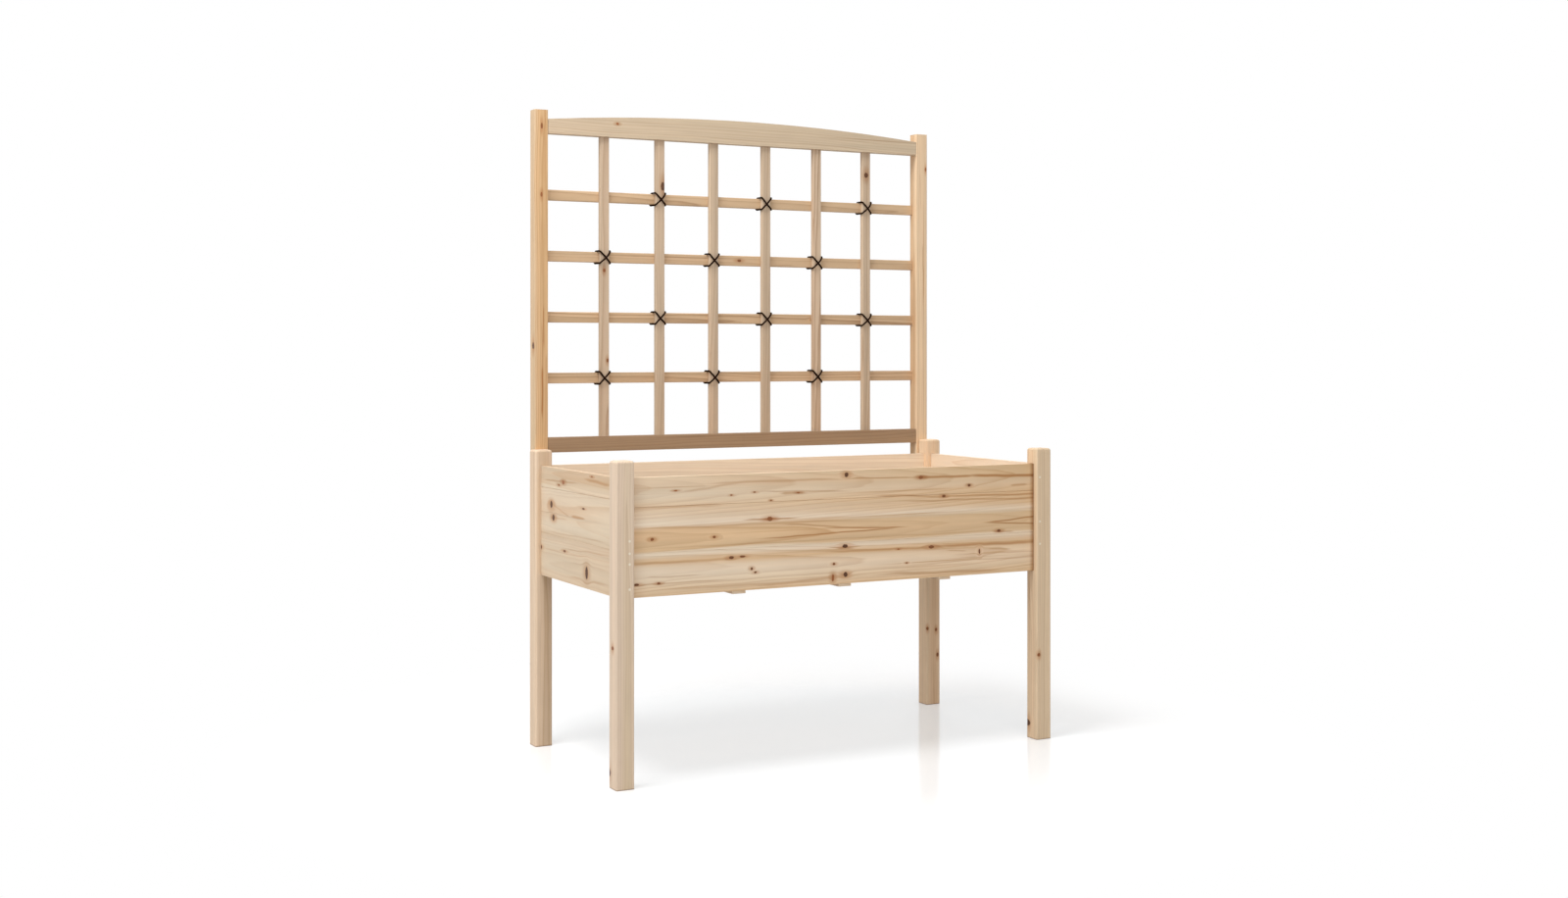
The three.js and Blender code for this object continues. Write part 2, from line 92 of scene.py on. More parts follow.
# %% Wiring
class Wiring:
    """Adds nodes to one tree. A value is a number, a vector or another node's output."""

    def __init__(self, tree):
        self.tree = tree

    def feed(self, socket, value):
        if isinstance(value, bpy.types.NodeSocket):
            self.tree.links.new(value, socket)
        else:
            socket.default_value = value

    def node(self, kind, values=None, **settings):
        made = self.tree.nodes.new(kind)
        for name, value in settings.items():
            setattr(made, name, value)
        for name, value in (values or {}).items():
            self.feed(made.inputs[name], value)
        return made

    def out(self, kind, values=None, **settings):
        """The first output of a new node."""
        return self.node(kind, values, **settings).outputs[0]

    def group(self, recipe, values):
        """One of this script's own trees, used as a single node."""
        return self.node(recipe.bl_idname.replace("Tree", "Group"), values, node_tree=recipe)

    def math(self, operation, *values, clamp=False):
        inputs = dict(enumerate(values))
        return self.out("ShaderNodeMath", inputs, operation=operation, use_clamp=clamp)

    def times(self, first, second):
        return self.math("MULTIPLY", first, second)

    def minus(self, first, second):
        return self.math("SUBTRACT", first, second)

    def scaled(self, value, factor, rest):
        """value * factor + rest"""
        return self.math("MULTIPLY_ADD", value, factor, rest)

    def vector(self, operation, *values):
        made = self.node("ShaderNodeVectorMath", dict(enumerate(values)), operation=operation)
        return made.outputs[1 if operation in ("LENGTH", "DISTANCE") else 0]

    def join(self, x, y, z):
        return self.out("ShaderNodeCombineXYZ", {0: x, 1: y, 2: z})

    def split(self, vector):
        return self.node("ShaderNodeSeparateXYZ", {0: vector}).outputs[:]

    def noise(self, place, detail=2.0, rough=0.5, scale=1.0):
        inputs = {"Vector": place, "Scale": scale, "Detail": detail, "Roughness": rough}
        return self.node("ShaderNodeTexNoise", inputs).outputs["Fac"]

    def ramp(self, value, start, end, low=0.0, high=1.0, shape="SMOOTHSTEP"):
        inputs = {0: value, 1: start, 2: end, 3: low, 4: high}
        return self.out("ShaderNodeMapRange", inputs, interpolation_type=shape)

    def mix(self, amount, first, second):
        return self.out("ShaderNodeMix", {0: amount, 2: first, 3: second})

    def blend(self, amount, first, second, mode="MIX"):
        """A mix of two colours."""
        inputs = {0: amount, 6: first, 7: second}
        return self.node("ShaderNodeMix", inputs, data_type="RGBA", blend_type=mode).outputs[2]

    def tint(self, base, by):
        return self.blend(1.0, base, by, "MULTIPLY")

    def object_place(self):
        return self.node("ShaderNodeTexCoord").outputs["Object"]

    def surface(self, values):
        """The end of a material."""
        shader = self.out("ShaderNodeBsdfPrincipled", values)
        self.node("ShaderNodeOutputMaterial", {"Surface": shader})

    def deliver(self, geometry, finish):
        """The end of a tree that makes a shape: real faces, in their material."""
        whole = self.out("GeometryNodeRealizeInstances", {0: geometry})
        coloured = self.out("GeometryNodeSetMaterial", {"Geometry": whole, "Material": finish})
        self.node("NodeGroupOutput", {0: coloured})


def new_tree(name, kind, inputs, outputs):
    """Makes a node tree. Its named inputs and outputs are listed under their sort."""
    tree = bpy.data.node_groups.new(name, kind)
    for side, sorts in (("INPUT", inputs), ("OUTPUT", outputs)):
        for sort, labels in sorts.items():
            for label in labels:
                tree.interface.new_socket(label, in_out=side, socket_type="NodeSocket" + sort)
    w = Wiring(tree)
    return tree, w, w.node("NodeGroupInput").outputs


def cleared(owner):
    """Empties the tree of a material or a world, to wire it from nothing."""
    owner.use_nodes = True
    owner.node_tree.nodes.clear()
    return Wiring(owner.node_tree)


def colour(red, green, blue):
    """A colour as a screen shows it, 0 to 255, turned into the light that a shader uses."""
    return tuple(
        v / 12.92 if v <= 0.04045 else ((v + 0.055) / 1.055) ** 2.4
        for v in (red / 255, green / 255, blue / 255)
    ) + (1.0,)


print("wiring is ready; pale fir is", [round(v, 3) for v in colour(219, 197, 172)])

# %% [markdown]
# ## Floor and light
#
# The object stands on a white sweep. A white floor under soft light renders as a
# light grey, so for the camera alone the floor is part paint and part glow: far off
# it is all glow and pure white, and near the object it keeps the soft shadow under
# the box and a faint reflection of the feet. Everything else sees an ordinary floor.
#
# There are four large soft lamps and an even sky. The key lamp hangs high at the left
# and draws the shadow together under the box. One at the front left lights the front
# boards, a low one at the left makes the left faces the brightest, and one behind keeps
# the back and the right side from going dull.

# %% Floor
SHADE_FADES = (0.75, 1.5)  # metres from the middle, over which the shade turns white
FEET_FADE = (0.6, 1.0)  # and over which the reflection of the feet is lost
POLISH, GLOW = 0.24, 0.275  # share of polish, and the light that the near floor gives


def grey(level):
    return (level, level, level, 1.0)


def white_floor():
    material = bpy.data.materials.new("white sweep")
    w = cleared(material)

    def both(amount, first, second):
        return w.out("ShaderNodeMixShader", {0: amount, 1: first, 2: second})

    distance = w.vector("LENGTH", w.object_place())
    far = w.ramp(distance, *SHADE_FADES)
    beyond_feet = w.ramp(distance, *FEET_FADE)
    paint = w.out("ShaderNodeBsdfDiffuse", {"Color": grey(0.74)})
    polish = w.out("ShaderNodeBsdfGlossy", {"Color": (0.88, 0.95, 1.0, 1), "Roughness": 0.13})
    glow = w.out("ShaderNodeEmission", {"Strength": GLOW})
    white = w.out("ShaderNodeEmission", {"Strength": 1.0})
    coat = both(POLISH, paint, both(beyond_feet, polish, white))
    near = w.out("ShaderNodeAddShader", {0: coat, 1: glow})
    plain = w.out("ShaderNodeBsdfDiffuse", {"Color": grey(0.62)})
    camera = w.node("ShaderNodeLightPath").outputs["Is Camera Ray"]
    seen = both(camera, plain, both(far, near, white))
    w.node("ShaderNodeOutputMaterial", {"Surface": seen})
    return material


sheet = bpy.data.meshes.new("floor")
sheet.from_pydata([(-9, -9, 0), (9, -9, 0), (9, 9, 0), (-9, 9, 0)], [], [(0, 1, 2, 3)])
sheet.materials.append(white_floor())
floor = linked("floor", sheet)
floor.location.z = -0.0005
print("floor of", floor.dimensions.x, "m")


# %% Light
def sky(strength):
    """A white backdrop that lights the object with less than it shows."""
    world = bpy.data.worlds.new("studio")
    w = cleared(world)
    ray = w.node("ShaderNodeLightPath").outputs
    shown = w.math("MAXIMUM", ray["Is Camera Ray"], ray["Is Glossy Ray"])
    level = w.ramp(shown, 0.0, 1.0, strength, 1.0)
    backdrop = w.out("ShaderNodeBackground", {"Color": grey(1.0), "Strength": level})
    w.node("ShaderNodeOutputWorld", {"Surface": backdrop})
    bpy.context.scene.world = world


def lamp(name, place, target, size, power):
    data = bpy.data.lights.new(name, "AREA")
    data.shape, data.size, data.energy = "DISK", size, power
    made = linked(name, data)
    made.location = place
    aim = Vector(target) - Vector(place)
    made.rotation_euler = aim.to_track_quat("-Z", "Y").to_euler()


sky(0.50)
lamp("key", (-1.4, -0.55, 3.7), (0.0, 0.0, 0.5), 1.6, 80)
lamp("front fill", (-0.9, -3.8, 2.2), (0.0, 0.0, 0.8), 2.5, 32)
lamp("left fill", (-3.6, 0.1, 1.1), (-0.5, 0.1, 0.8), 1.6, 19)
lamp("behind", (2.6, 3.2, 2.6), (0.2, 0.2, 0.8), 2.2, 26)
bpy.context.scene.view_settings.view_transform = "Standard"
print("sky and four soft lamps are set")

# %% [markdown]
# ## Fir
#
# A board is a slice of a trunk. In a trunk, each year's ring is a cylinder round the
# pith, light in spring and dark towards the autumn edge. The recipe measures how far
# a point lies from the pith, and divides that by the ring width: the fraction gives
# the place within one ring, and the whole number picks a tone for that year. A slow
# wander of the pith and a slight taper of the trunk draw the flames and the pointed
# arches of flat-sawn boards. Near the pith, or where a board's own bands say so, lies
# orange heartwood, further out pale sapwood. On top come long resin streaks and short
# fibres, stretched along the grain. Contrast makes thin bars livelier than wide boards.


# %% Growth rings
def growth_rings(w, given, stretched, offset):
    """How far a place is from the pith, the tone of its year and the dark of its autumn."""
    along, across, through = w.split(given["Place"])
    wander = w.minus(w.noise(stretched(1.6, 5.0), 1.0), 0.5)
    jitter = w.minus(w.noise(stretched(7.0, 70.0), 2.0), 0.5)
    sideways = w.scaled(wander, 0.034, w.minus(across, given["Pith Across"]))
    inwards = w.minus(through, given["Pith Depth"])
    radius = w.vector("LENGTH", w.join(sideways, inwards, 0.0))
    radius = w.scaled(along, given["Rise"], radius)
    radius = w.scaled(jitter, 0.0026, radius)
    uneven = w.noise(w.join(w.scaled(radius, 70.0, offset), 0, 0), 1.0)
    years = w.scaled(uneven, 2.2, w.math("DIVIDE", radius, given["Ring"]))
    season = w.math("FRACT", years)
    year = w.math("ADD", w.math("FLOOR", years), offset)
    tone = w.node("ShaderNodeTexWhiteNoise", {"W": year}, noise_dimensions="1D").outputs["Value"]
    late = w.times(w.math("POWER", season, 3.2), w.ramp(season, 1.0, 0.93))
    return radius, tone, w.times(late, w.scaled(tone, 0.85, 0.25))


def shading(w, given, stretched, tone, fibre):
    """A factor near one: slow bands, then fibres, one tone for each year, and mottle."""
    band = w.minus(w.noise(stretched(0.5, 48.0), 2.0), 0.5)
    shade = w.scaled(w.times(band, given["Contrast"]), 0.22, 1.0)
    mottle = w.noise(stretched(9.0, 60.0), 2.0)
    for pattern, strength in ((fibre, 0.15), (tone, 0.06), (mottle, 0.12)):
        shade = w.scaled(pattern, strength, w.minus(shade, strength / 2))
    return w.join(shade, shade, shade)


def knot_wood(w, given):
    speckle = w.times(w.noise(given["Place"], 2.0, scale=420.0), 0.16)
    core = w.blend(given["Dark"], colour(160, 94, 50), colour(56, 32, 20))
    return w.blend(speckle, core, colour(190, 140, 96))


# %% Wood recipe
def wood_group():
    floats = ("Seed", "Pith Across", "Pith Depth", "Heart", "Ring", "Rise", "Knot", "Halo", "Dark")
    floats += ("Stain", "Mark", "Contrast")
    colours = ("Sapwood", "Heartwood", "Latewood")
    inputs = {"Vector": ("Place",), "Float": floats, "Color": colours}
    outputs = {"Color": ("Colour",), "Float": ("Height", "Roughness")}
    tree, w, given = new_tree("fir", "ShaderNodeTree", inputs, outputs)
    along, across, through = w.split(given["Place"])
    offset = w.times(given["Seed"], 7.31)

    def stretched(lengthwise, crosswise):
        """The place, scaled so that a noise is long in the grain and fine across it."""
        depth = w.times(through, crosswise)
        return w.join(w.scaled(along, lengthwise, offset), w.scaled(across, crosswise, offset), depth)

    radius, tone, late = growth_rings(w, given, stretched, offset)
    patch = w.noise(stretched(0.9, 22.0), 1.0)
    edge = w.minus(w.scaled(patch, 0.012, radius), given["Heart"])
    heart = w.times(w.ramp(edge, 0.014, -0.001), w.ramp(patch, 0.15, 0.75, 1.0, 0.7))
    heart = w.math("MAXIMUM", heart, given["Stain"])
    base = w.blend(heart, given["Sapwood"], given["Heartwood"])
    strength = w.times(w.scaled(heart, 0.35, 0.38), given["Contrast"])
    base = w.blend(w.math("MULTIPLY", late, strength, clamp=True), base, given["Latewood"])

    streak = w.ramp(w.noise(stretched(1.1, 130.0), 2.0), 0.60, 0.74)
    fade = w.ramp(w.noise(stretched(1.9, 16.0), 1.0), 0.42, 0.62)
    base = w.blend(w.times(w.times(streak, fade), 0.62), base, given["Latewood"])
    resin = w.tint(given["Latewood"], colour(242, 228, 214))
    base = w.blend(given["Mark"], base, resin)
    fibre = w.noise(stretched(11.0, 950.0), 3.0, 0.6)
    base = w.tint(base, shading(w, given, stretched, tone, fibre))
    blush = w.ramp(w.noise(stretched(0.8, 15.0), 1.0), 0.35, 0.65)
    base = w.blend(blush, base, w.tint(base, (1.012, 0.988, 0.985, 1.0)))

    ringed = w.tint(base, colour(214, 170, 128))
    base = w.blend(w.times(given["Halo"], 0.55), base, ringed)
    base = w.blend(given["Knot"], base, knot_wood(w, given))
    height = w.scaled(late, -0.35, w.times(fibre, 0.8))
    height = w.scaled(given["Knot"], 0.5, height)
    rough = w.scaled(given["Knot"], -0.12, w.scaled(fibre, 0.16, 0.50))
    w.node("NodeGroupOutput", {"Colour": base, "Height": height, "Roughness": rough})
    return tree


FIR = wood_group()
print("fir recipe:", len(FIR.nodes), "nodes")

# %% [markdown]
# ## Knots
#
# A knot is the foot of a branch. It is a small body of its own inside the board, so
# here it is an ellipsoid with a centre and three half sizes, a little darker at its
# rim. The fibres flow round it: close to a knot, the wood recipe is asked for a place
# nearer to the knot's centre line, and its lines then bend outwards. Several knots are
# wired in a row, and each passes the bent place and its three masks on to the next one.


# %% Knot recipe
def knot_group():
    masks = ("Knot", "Halo", "Dark")
    inputs = {"Vector": ("Place", "Centre", "Size"), "Float": ("Darkness", *masks)}
    outputs = {"Vector": ("Place",), "Float": masks}
    tree, w, given = new_tree("knot", "ShaderNodeTree", inputs, outputs)
    gap = w.vector("SUBTRACT", given["Place"], given["Centre"])
    ragged = w.noise(given["Place"], 2.0, scale=240.0)
    size = w.vector("DIVIDE", gap, given["Size"])
    reach = w.scaled(ragged, 0.55, w.minus(w.vector("LENGTH", size), 0.27))
    core = w.ramp(reach, 1.12, 0.82)
    spread = w.vector("LENGTH", w.vector("MULTIPLY", size, (0.34, 0.62, 0.8)))
    halo = w.ramp(spread, 1.5, 0.35)
    pull = w.math("EXPONENT", w.times(w.times(spread, spread), -1.1))
    bend = w.vector("MULTIPLY", gap, w.join(0.0, pull, pull))
    place = w.vector("SUBTRACT", given["Place"], w.vector("MULTIPLY", bend, (0, 0.8, 0.8)))
    rim = w.times(given["Darkness"], w.ramp(reach, 0.1, 0.9, 0.78, 1.0))
    passed = {"Place": place, "Dark": w.mix(core, given["Dark"], rim)}
    passed["Knot"] = w.math("MAXIMUM", given["Knot"], core)
    passed["Halo"] = w.math("MAXIMUM", given["Halo"], halo)
    w.node("NodeGroupOutput", passed)
    return tree


KNOT = knot_group()
print("knot recipe:", len(KNOT.nodes), "nodes")

# %% [markdown]
# ## Resin marks
#
# Dark resin lines run along the grain, some straight through a knot, some in pairs that
# meet in a point where the saw left a ring. Each one is a soft tapered stroke between
# two points. Strokes are wired in a row as the knots are.


# %% Mark recipe
def mark_group():
    inputs = {"Vector": ("Place", "Start", "End"), "Float": ("Half Width", "Strength", "Mark")}
    tree, w, given = new_tree("resin mark", "ShaderNodeTree", inputs, {"Float": ("Mark",)})
    along, across, _ = w.split(given["Place"])
    start_x, start_y, _ = w.split(given["Start"])
    end_x, end_y, _ = w.split(given["End"])
    part = w.math("DIVIDE", w.minus(along, start_x), w.minus(end_x, start_x))
    line = w.mix(w.ramp(part, 0.0, 1.0), start_y, end_y)
    shaky = w.noise(given["Place"], 2.0, scale=9.0)
    line = w.scaled(w.minus(shaky, 0.5), 0.007, line)
    ends = w.times(w.ramp(part, 0.0, 0.25), w.ramp(part, 1.0, 0.75))
    half = w.times(given["Half Width"], w.scaled(ends, 0.6, 0.4))
    gap = w.math("DIVIDE", w.math("ABSOLUTE", w.minus(across, line)), half)
    mask = w.times(w.ramp(gap, 1.0, 0.1), w.times(ends, given["Strength"]))
    w.node("NodeGroupOutput", {0: w.math("MAXIMUM", given["Mark"], mask)})
    return tree


MARK = mark_group()
print("mark recipe:", len(MARK.nodes), "nodes")

# %% [markdown]
# ## One wood for each piece
#
# Every board has its own place in a trunk, so every piece gets its own material from
# the same recipes. `GRAIN` says which way the fibres of a piece run: the axes are put
# in the order along, across and through. Knots and marks are given in the object's own
# millimetres, and fall on the piece that they belong to. They are listed one by one, as
# are the bands, which give the two panels in view their stripes of heartwood.

# %% Tones
GRAIN = {"x": (0, 2, 1), "y": (1, 2, 0), "z": (2, 0, 1), "x flat": (0, 1, 2), "y flat": (1, 0, 2)}
TONES = {  # sapwood, heartwood, latewood
    "panel": ((243, 226, 202), (225, 190, 146), (192, 146, 97)),
    "left panel": ((230, 213, 188), (207, 175, 138), (198, 160, 120)),
    "front left leg": ((229, 208, 184), (213, 191, 158), (188, 154, 118)),
    "rear left leg": ((233, 208, 180), (199, 173, 143), (184, 151, 116)),
    "right leg": ((229, 203, 170), (219, 187, 148), (184, 145, 106)),
    "rear right leg": ((239, 212, 179), (222, 186, 147), (192, 148, 108)),
    "left post": ((218, 191, 155), (212, 173, 126), (182, 131, 80)),
    "right post": ((237, 210, 174), (198, 160, 119), (184, 138, 94)),
    "slat": ((207, 184, 157), (196, 165, 131), (146, 108, 76)),
    "bar": ((213, 183, 147), (202, 166, 124), (144, 104, 68)),
    "rail": ((209, 189, 161), (200, 176, 144), (164, 130, 97)),
    # the bottom rail: a darker copy of the rail tone, partly darker wood and partly painted shade
    "low rail": ((165, 138, 109), (151, 122, 91), (126, 94, 66)),
    "floor": ((218, 194, 166), (209, 179, 141), (186, 147, 106)),
}
print(len(TONES), "tones of fir")

# %% Knots
FRONT_Y, LEFT_X = -290.0, -599.0
THIN, THROUGH = 0.020, 26  # in a board thinner than THIN m, a knot reaches THROUGH mm and shows on both faces
FRONT_KNOTS = (  # x, z, half size along, across and through, darkness
    (-525, 581, 5, 4, 9, 0.35), (-362, 579, 4.5, 3.5, 9, 0.45), (-211, 616, 8, 6, 10, 0.3),
    (-316, 527, 7, 4, 9, 0.75), (-286, 528, 8, 2.6, 9, 0.65), (-261, 497, 3.5, 4, 9, 0.8),
    (-251, 488, 4, 3, 9, 0.75), (-565, 476, 7, 3, 9, 0.8), (-508, 476, 5, 3, 9, 0.55),
    (5, 717, 6, 6.5, 9, 0.95), (224, 703, 7, 4.5, 9, 0.3), (372, 678, 5, 4, 9, 0.75),
    (294, 653, 5.5, 4, 9, 0.6), (1, 539, 8.5, 5, 9, 1.0), (-31, 496, 4, 3.5, 9, 0.55),
    (2, 468, 6.5, 7, 9, 1.0), (256, 524, 9, 4.5, 9, 0.5), (182, 487, 3.5, 2.2, 9, 0.4),
    (465, 556, 6, 4, 9, 0.65), (404, 505, 2.6, 8, 12, 0.8), (-464, 694, 5, 2, 9, 0.05),
    (-208, 661, 3, 2, 12, 0.3), (-253, 683, 4, 2, 12, 0.4), (-316, 678, 3.5, 2, 12, 0.25),
    (-132, 677, 4.5, 2, 12, 0.25), (157, 523, 4, 2, 12, 0.15), (-34, 462, 4, 10, 12, 0.15),
)
LEFT_KNOTS = (  # y, z, half size along, across and through, darkness
    (-123, 721, 6, 2.5, 12, 0.05), (68, 695, 8, 5.5, 12, 0.15), (152, 634, 9, 10, 12, 1.0),
    (137, 601, 9, 9, 12, 1.0), (-68, 639, 9, 2.6, 12, 0.85), (99, 687, 7, 3, 12, 0.2),
    (59, 523, 9, 3.2, 12, 0.65), (-89, 484, 9, 17, 12, 1.0), (226, 518, 7, 5, 9, 0.75),
)
OTHER_KNOTS = (  # x, y, z, half size along, across and through, darkness
    (-622, -266, 36, 11, 8, 13, 1.0), (576, -270, 39, 9, 8, 14, 1.0), (583, -313, 224, 5, 5, 8, 0.35),
    (579, 226, 221, 5, 4, 6, 0.4), (608, 226, 216, 5, 4, 6, 0.4), (613, 226, 143, 6, 4, 6, 0.5),
    (-588, 273, 1617, 8, 3, 7, 0.45), (-589, 273, 1437, 6, 3, 6, 0.25), (-607, 285, 1040, 9, 5, 8, 0.95),
    (-408, 283, 1242, 5, 4, 9, 0.45), (-398, 283, 1001, 5, 4, 9, 0.45), (-236, 283, 1474, 12, 6.5, 9, 1.0),
    (405, 283, 1533, 8, 6.5, 9, 1.0), (-373, 274, 1635, 4, 3.5, 14, 0.2), (602, 273, 1558, 6, 3, 6, 0.15),
    (3, 297, 1278, 6, 4, 8, 0.55), (-455, 249, 690, 6, 5, 9, 0.6), (130, 249, 672, 4, 4, 9, 0.45),
    (-60, 249, 576, 7, 5, 9, 0.8), (410, 249, 595, 5, 4, 9, 0.5), (-330, 249, 520, 6, 4, 9, 0.7),
    (250, 249, 470, 5, 5, 9, 0.85), (-140, 249, 630, 4, 3, 9, 0.4), (599, -120, 700, 5, 4, 9, 0.6),
    (599, 130, 590, 6, 4, 9, 0.75), (599, -60, 505, 2, 11, 9, 0.85), (-622, -290, 330, 5, 4, 7, 0.35),
    (622, 250, 410, 6, 5, 8, 0.6), (-600, 272, 250, 5, 5, 8, 0.55), (607, 290, 1210, 7, 3, 7, 0.55),
    (580, 309, 840, 6, 4, 7, 0.7), (240, 309, 1116, 5, 4, 6, 0.6), (-300, 302, 1640, 6, 5, 9, 0.6),
    (150, 302, 780, 7, 5, 9, 0.7),
)
KNOTS = [(x, FRONT_Y, z, *rest) for x, z, *rest in FRONT_KNOTS]
KNOTS += [(LEFT_X, y, z, *rest) for y, z, *rest in LEFT_KNOTS]
KNOTS += OTHER_KNOTS
print(len(KNOTS), "knots")

# %% Marks, bands, painted shade and filled nail holes
MARKS = {  # start, height, end, height, half width, strength; on a post, z and then x at each end
    "front": (
        (-470, 690, -250, 710, 5, 0.35), (-420, 708, 40, 707, 5, 0.45), (-20, 709, 240, 703, 3, 0.65),
        (180, 704, 420, 702, 5, 0.9), (330, 703, 660, 696, 6, 1.0), (-270, 684, 40, 676, 3, 0.45),
        (-190, 678, -100, 677, 6, 0.6), (495, 674, 562, 674, 4, 0.6), (-640, 656, -300, 655, 6, 0.35),
        (60, 662, 330, 652, 5, 0.5), (230, 652, 680, 648, 4, 0.7), (100, 644, 700, 637, 4, 0.55),
        (-300, 616, -120, 616, 2.5, 0.85), (-200, 602, 20, 587, 3, 0.6), (-80, 587, 205, 578, 2.8, 1.0),
        (-280, 569, 205, 577, 2.8, 0.95), (-640, 606, 100, 604, 4, 0.35), (-640, 559, 600, 556, 3, 0.3),
        (396, 579, 650, 591, 3.0, 0.95), (396, 579, 660, 567, 3.0, 0.9), (440, 555, 520, 553, 3, 0.6),
        (-620, 524, -270, 525, 5, 0.45), (-60, 538, 60, 537, 2.5, 0.6), (-100, 528, 300, 523, 5, 0.5),
        (220, 525, 640, 521, 6, 0.75), (-560, 491, -380, 490, 3, 0.35), (-640, 475, -300, 475, 2.5, 0.45),
        (300, 500, 660, 496, 2.5, 0.35), (296, 512, 372, 509, 2, 0.5), (424, 510, 505, 507, 2, 0.5),
        (-545, 492, -455, 489, 3, 0.35), (280, 484, 660, 482, 2.5, 0.35), (-280, 455, 60, 465, 6, 0.45),
        (-560, 461, 0, 457, 5, 0.35), (60, 462, 520, 452, 6, 0.5),
    ),
    "left": (
        (-260, 707, -60, 712, 6, 0.75), (-60, 699, 240, 693, 4, 0.55), (-90, 614, 24, 614, 4.5, 0.75),
        (10, 612, 160, 634, 3, 0.4), (30, 604, 170, 600, 3, 0.4), (-260, 570, 230, 562, 3, 0.35),
        (-260, 538, 100, 530, 3, 0.4), (-160, 521, 240, 516, 2.5, 0.35), (-260, 504, 60, 498, 2.5, 0.3),
        (-260, 470, 60, 462, 5, 0.4),
    ),
    "left post": (
        (1640, -591, 1460, -590, 1.5, 0.35), (1400, -589, 1190, -588, 1.5, 0.4),
        (1160, -583, 1020, -583, 2.8, 0.8), (1120, -588, 960, -586, 2.0, 0.6),
        (1010, -587, 830, -586, 3.8, 1.0),
    ),
    "right post": (
        (1345, 592, 1250, 593, 1.5, 0.5), (1290, 595, 1160, 594, 2.0, 0.6),
        (1560, 583, 1430, 584, 1.5, 0.35),
    ),
}
BANDS = {  # height, share of heartwood at the low end and at the high end of the axis
    "front": (
        (446, 0.8, 0.9), (478, 0.3, 0.5), (500, 0.1, 0.5), (512, 0.2, 0.6), (524, 0.9, 1.0),
        (533, 0.7, 0.8), (541, 0.0, 0.3), (549, 0.2, 0.3), (555, 0.9, 0.9), (602, 0.9, 0.9),
        (615, 0.0, 0.2), (628, 0.2, 0.9), (658, 0.5, 1.0), (684, 0.2, 0.7), (706, 0.4, 1.0),
        (729, 0.4, 1.0),
    ),
    "left": (
        (446, 0.6, 0.4), (474, 0.4, 0.2), (522, 0.4, 0.3), (534, 0.5, 0.1), (560, 0.4, 0.4),
        (582, 0.2, 0.0), (606, 0.2, 0.4), (640, 0.2, 0.3), (676, 0.2, 0.0), (692, 0.4, 0.5),
        (710, 1.0, 0.5), (729, 0.6, 0.4),
    ),
}
# Painted shade: the colour is darkened at the ends of the staves beside the legs, and at the foot of each
# leg.
PAINTED_SHADE_ENDS = {  # stave ends at the legs and the foot of a leg: place, how far it reaches, strength
    "front": ((-576, 45, 0.2), (578, 18, 1.0)),
    "left": ((-266, 30, 0.15), (266, 30, 0.15)),
    "leg": ((0, 3, 0.9),),
}
NAILED_LEGS = ((-589, (581, 552, 527, 468)), (586, (693, 576, 517)))
FILLED_NAILS = [(x, -313.2, z) for x, heights in NAILED_LEGS for z in heights]
print(sum(len(rows) for rows in MARKS.values()), "marks,", len(FILLED_NAILS), "filled nail holes")


# %% Boxes
def around(nodes):
    """The box round one or several pieces of the frame."""
    lows, highs = zip(*(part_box(node) for node in nodes))
    return Vector(map(min, zip(*lows))), Vector(map(max, zip(*highs)))


# %% Knots and marks of one piece
def inside(place, low, high, spare=0.004):
    return all(low[i] - spare <= place[i] / 1000 <= high[i] + spare for i in range(3))


def knotted(w, place, order, shift, low, high):
    """The bent place and the three masks after all knots of a piece."""
    state = {"Place": place, "Knot": 0.0, "Halo": 0.0, "Dark": 0.0}
    for x, y, z, *half, darkness in KNOTS:
        if not inside((x, y, z), low, high):
            continue
        spot = Vector((x, y, z)) / 1000
        if min(high - low) < THIN:
            half[2] = THROUGH
        centre = Vector([spot[i] for i in order]) - shift
        size = [v / 1000 for v in half]
        knot = w.group(KNOT, {**state, "Centre": centre, "Size": size, "Darkness": darkness})
        state = {label: knot.outputs[label] for label in state}
    return state


def strokes(w, place, order, shift, side, low, high):
    """The resin marks of one side that touch a board."""
    mark, spare = 0.0, 0.008
    across = order[1]
    for start, start_height, end, end_height, half, strength in MARKS.get(side, ()):
        heights = (start_height / 1000, end_height / 1000)
        if max(heights) < low[across] - spare or min(heights) > high[across] + spare:
            continue
        first = Vector((start / 1000, heights[0], shift.z)) - shift
        last = Vector((end / 1000, heights[1], shift.z)) - shift
        values = {"Place": place, "Start": first, "End": last, "Half Width": half / 1000}
        mark = w.group(MARK, {**values, "Strength": strength, "Mark": mark}).outputs[0]
    return mark


def stain(w, height, along, side, low, high):
    """The share of heartwood, as bands that wander a little and change from end to end."""
    bands = BANDS[side]
    foot, top = bands[0][0] / 1000, bands[-1][0] / 1000
    wander = w.noise(w.join(w.times(along, 2.2), w.times(height, 14.0), 0.0), 2.0)
    height = w.scaled(w.minus(wander, 0.5), 0.014, height)
    part = w.ramp(height, foot, top, shape="LINEAR")
    shares = []
    for end in (1, 2):
        scale = w.node("ShaderNodeValToRGB", {0: part})
        stops = scale.color_ramp.elements
        stops[0].position, stops[1].position = 0.0, 1.0
        for level, *share in bands[1:-1]:
            stops.new((level / 1000 - foot) / (top - foot)).color = grey(share[end - 1])
        for stop, band in zip((stops[0], stops[-1]), (bands[0], bands[-1])):
            stop.color = grey(band[end])
        shares.append(scale.outputs[0])
    return w.mix(w.ramp(along, low, high, shape="LINEAR"), *shares)


# %% Wood material
def with_fillings(w, base, place, low, high):
    """Pale filler in the nail holes of a leg."""
    for nail in FILLED_NAILS:
        if inside(nail, low, high):
            gap = w.vector("DISTANCE", place, Vector(nail) / 1000)
            base = w.blend(w.ramp(gap, 0.0036, 0.0024, 0.0, 0.8), base, colour(242, 232, 214))
    return base
